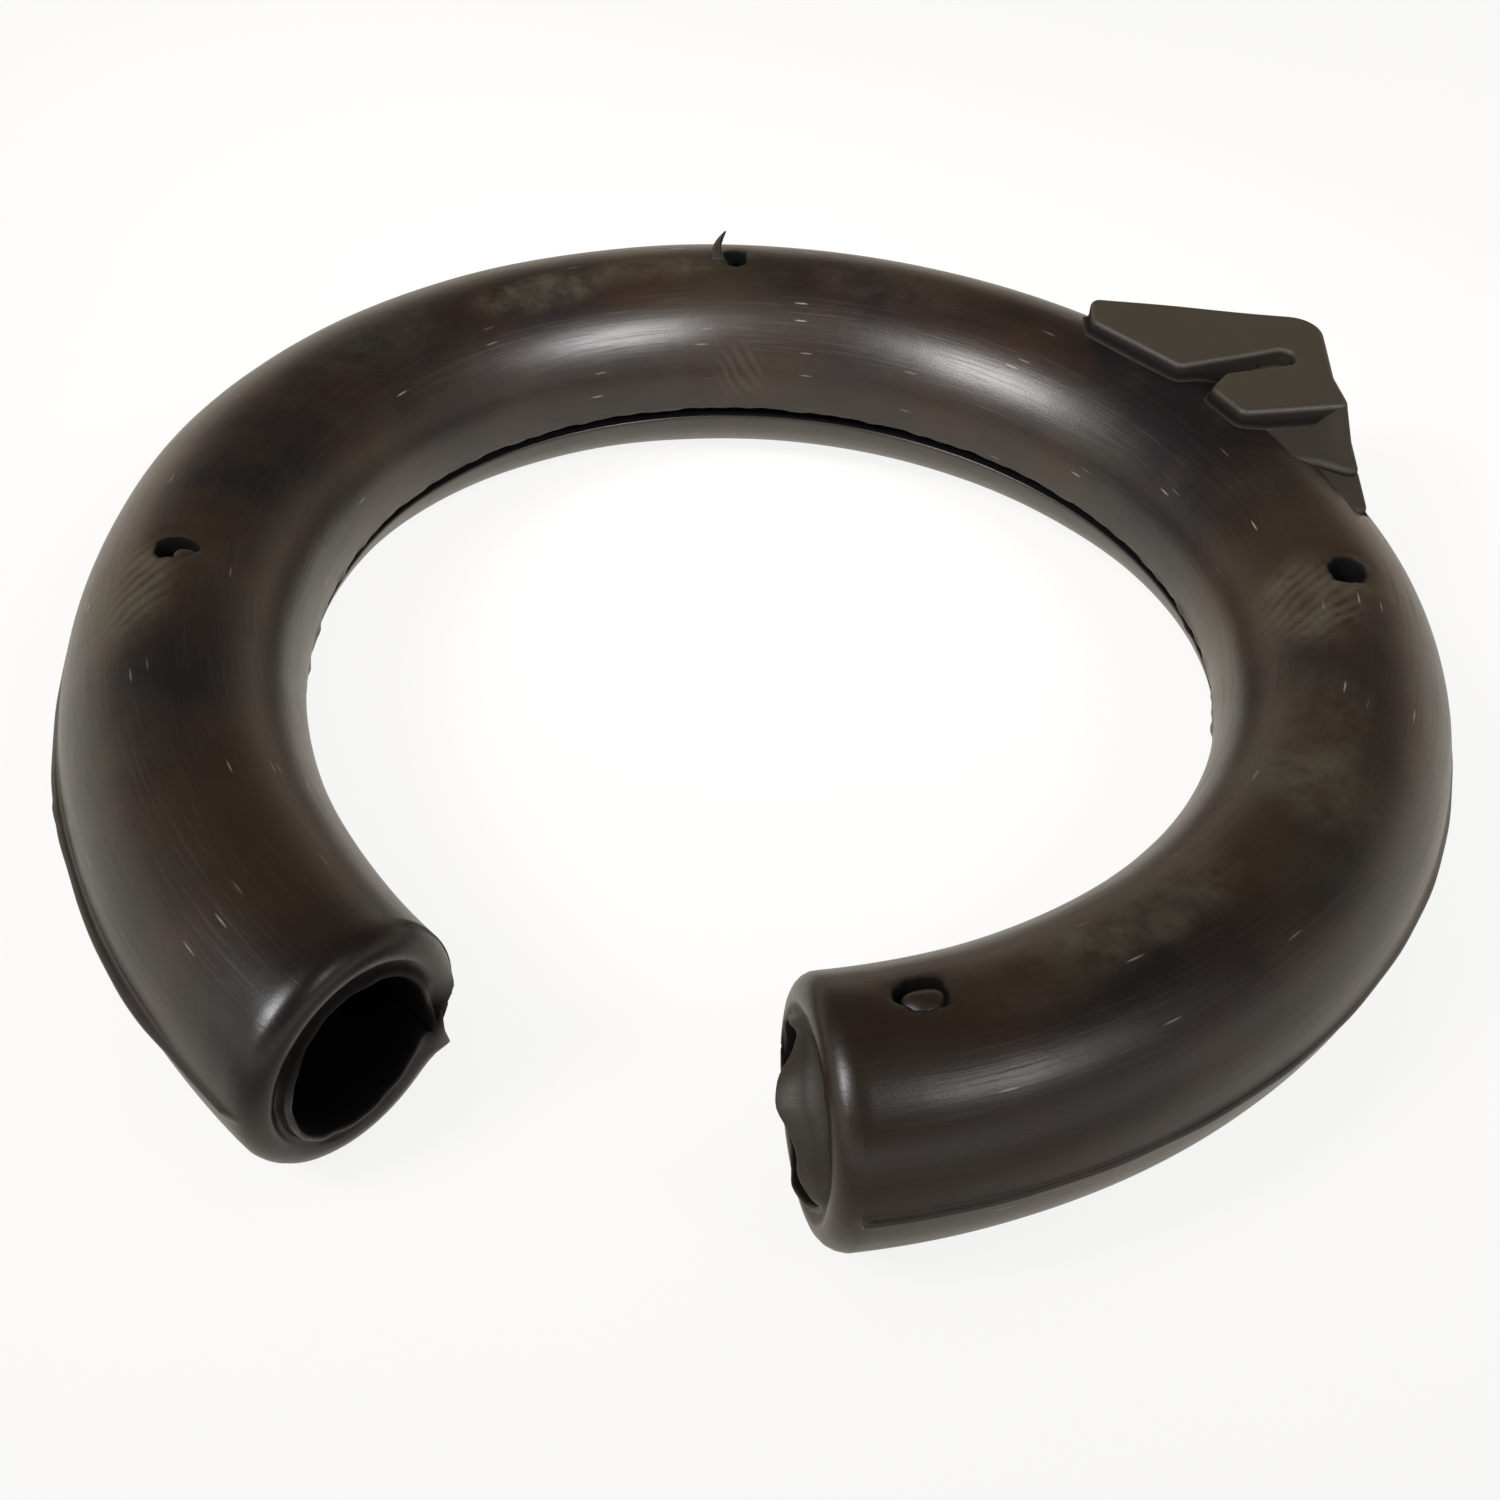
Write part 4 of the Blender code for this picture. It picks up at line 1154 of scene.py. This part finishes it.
class INSULATOR_OT_plugs(bpy.types.Operator):
    """Make the torn plugs left in two of the pin holes"""

    bl_idname = "insulator.plugs"
    bl_label = "Make plugs"

    def execute(self, context):
        dress(build_plugs())
        return {"FINISHED"}


class INSULATOR_OT_nib(bpy.types.Operator):
    """Make the small curved nib"""

    bl_idname = "insulator.nib"
    bl_label = "Make nib"

    def execute(self, context):
        dress(build_nib(context.scene.insulator_sizes))
        return {"FINISHED"}


class INSULATOR_OT_stage(bpy.types.Operator):
    """Make the paper floor, the two softboxes, the surround and the camera"""

    bl_idname = "insulator.stage"
    bl_label = "Make stage"

    def execute(self, context):
        looks = context.scene.insulator_looks
        mesh = bpy.data.meshes.new("floor")
        corners = [(x * FLOOR_REACH, y * FLOOR_REACH, 0.0)
                   for x, y in ((-1, -1), (1, -1), (1, 1), (-1, 1))]
        mesh.from_pydata(corners, [], [(0, 1, 2, 3)])
        floor = bpy.data.objects.new("floor", mesh)
        context.scene.collection.objects.link(floor)
        mesh.materials.append(studio_floor(looks.floor, looks.front_shade))
        white_surround(looks.world_level, looks.ceiling_level, looks.walls)
        add_softbox("softbox_right", looks.right_power)
        add_softbox("softbox_left", looks.left_power)
        add_camera()
        context.scene.view_settings.view_transform = "Standard"
        return {"FINISHED"}


class INSULATOR_PT_panel(bpy.types.Panel):
    """Sizes, colours and the buttons that build each piece"""

    bl_idname = "INSULATOR_PT_panel"
    bl_label = "Coil spring insulator"
    bl_space_type = "VIEW_3D"
    bl_region_type = "UI"
    bl_category = "Insulator"

    def draw(self, context):
        for group in (context.scene.insulator_sizes, context.scene.insulator_looks):
            for key in group.__annotations__:
                self.layout.prop(group, key)
        for operator in OPERATORS:
            self.layout.operator(operator.bl_idname)


OPERATORS = (INSULATOR_OT_sleeve, INSULATOR_OT_lug, INSULATOR_OT_plugs, INSULATOR_OT_nib,
             INSULATOR_OT_stage)
CLASSES = (SleeveSizes, Looks) + OPERATORS + (INSULATOR_PT_panel,)


def register():
    """Add the classes and their properties to Blender."""
    for made in CLASSES:
        bpy.utils.register_class(made)
    bpy.types.Scene.insulator_sizes = bpy.props.PointerProperty(type=SleeveSizes)
    bpy.types.Scene.insulator_looks = bpy.props.PointerProperty(type=Looks)


def unregister():
    """Take them out again, last first."""
    del bpy.types.Scene.insulator_looks
    del bpy.types.Scene.insulator_sizes
    for made in reversed(CLASSES):
        bpy.utils.unregister_class(made)


def main():
    """Build each piece and the stage."""
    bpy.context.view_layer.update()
    register()
    bpy.ops.insulator.sleeve()
    bpy.ops.insulator.lug()
    bpy.ops.insulator.plugs()
    bpy.ops.insulator.nib()
    bpy.ops.insulator.stage()


if __name__ == "__main__":
    main()
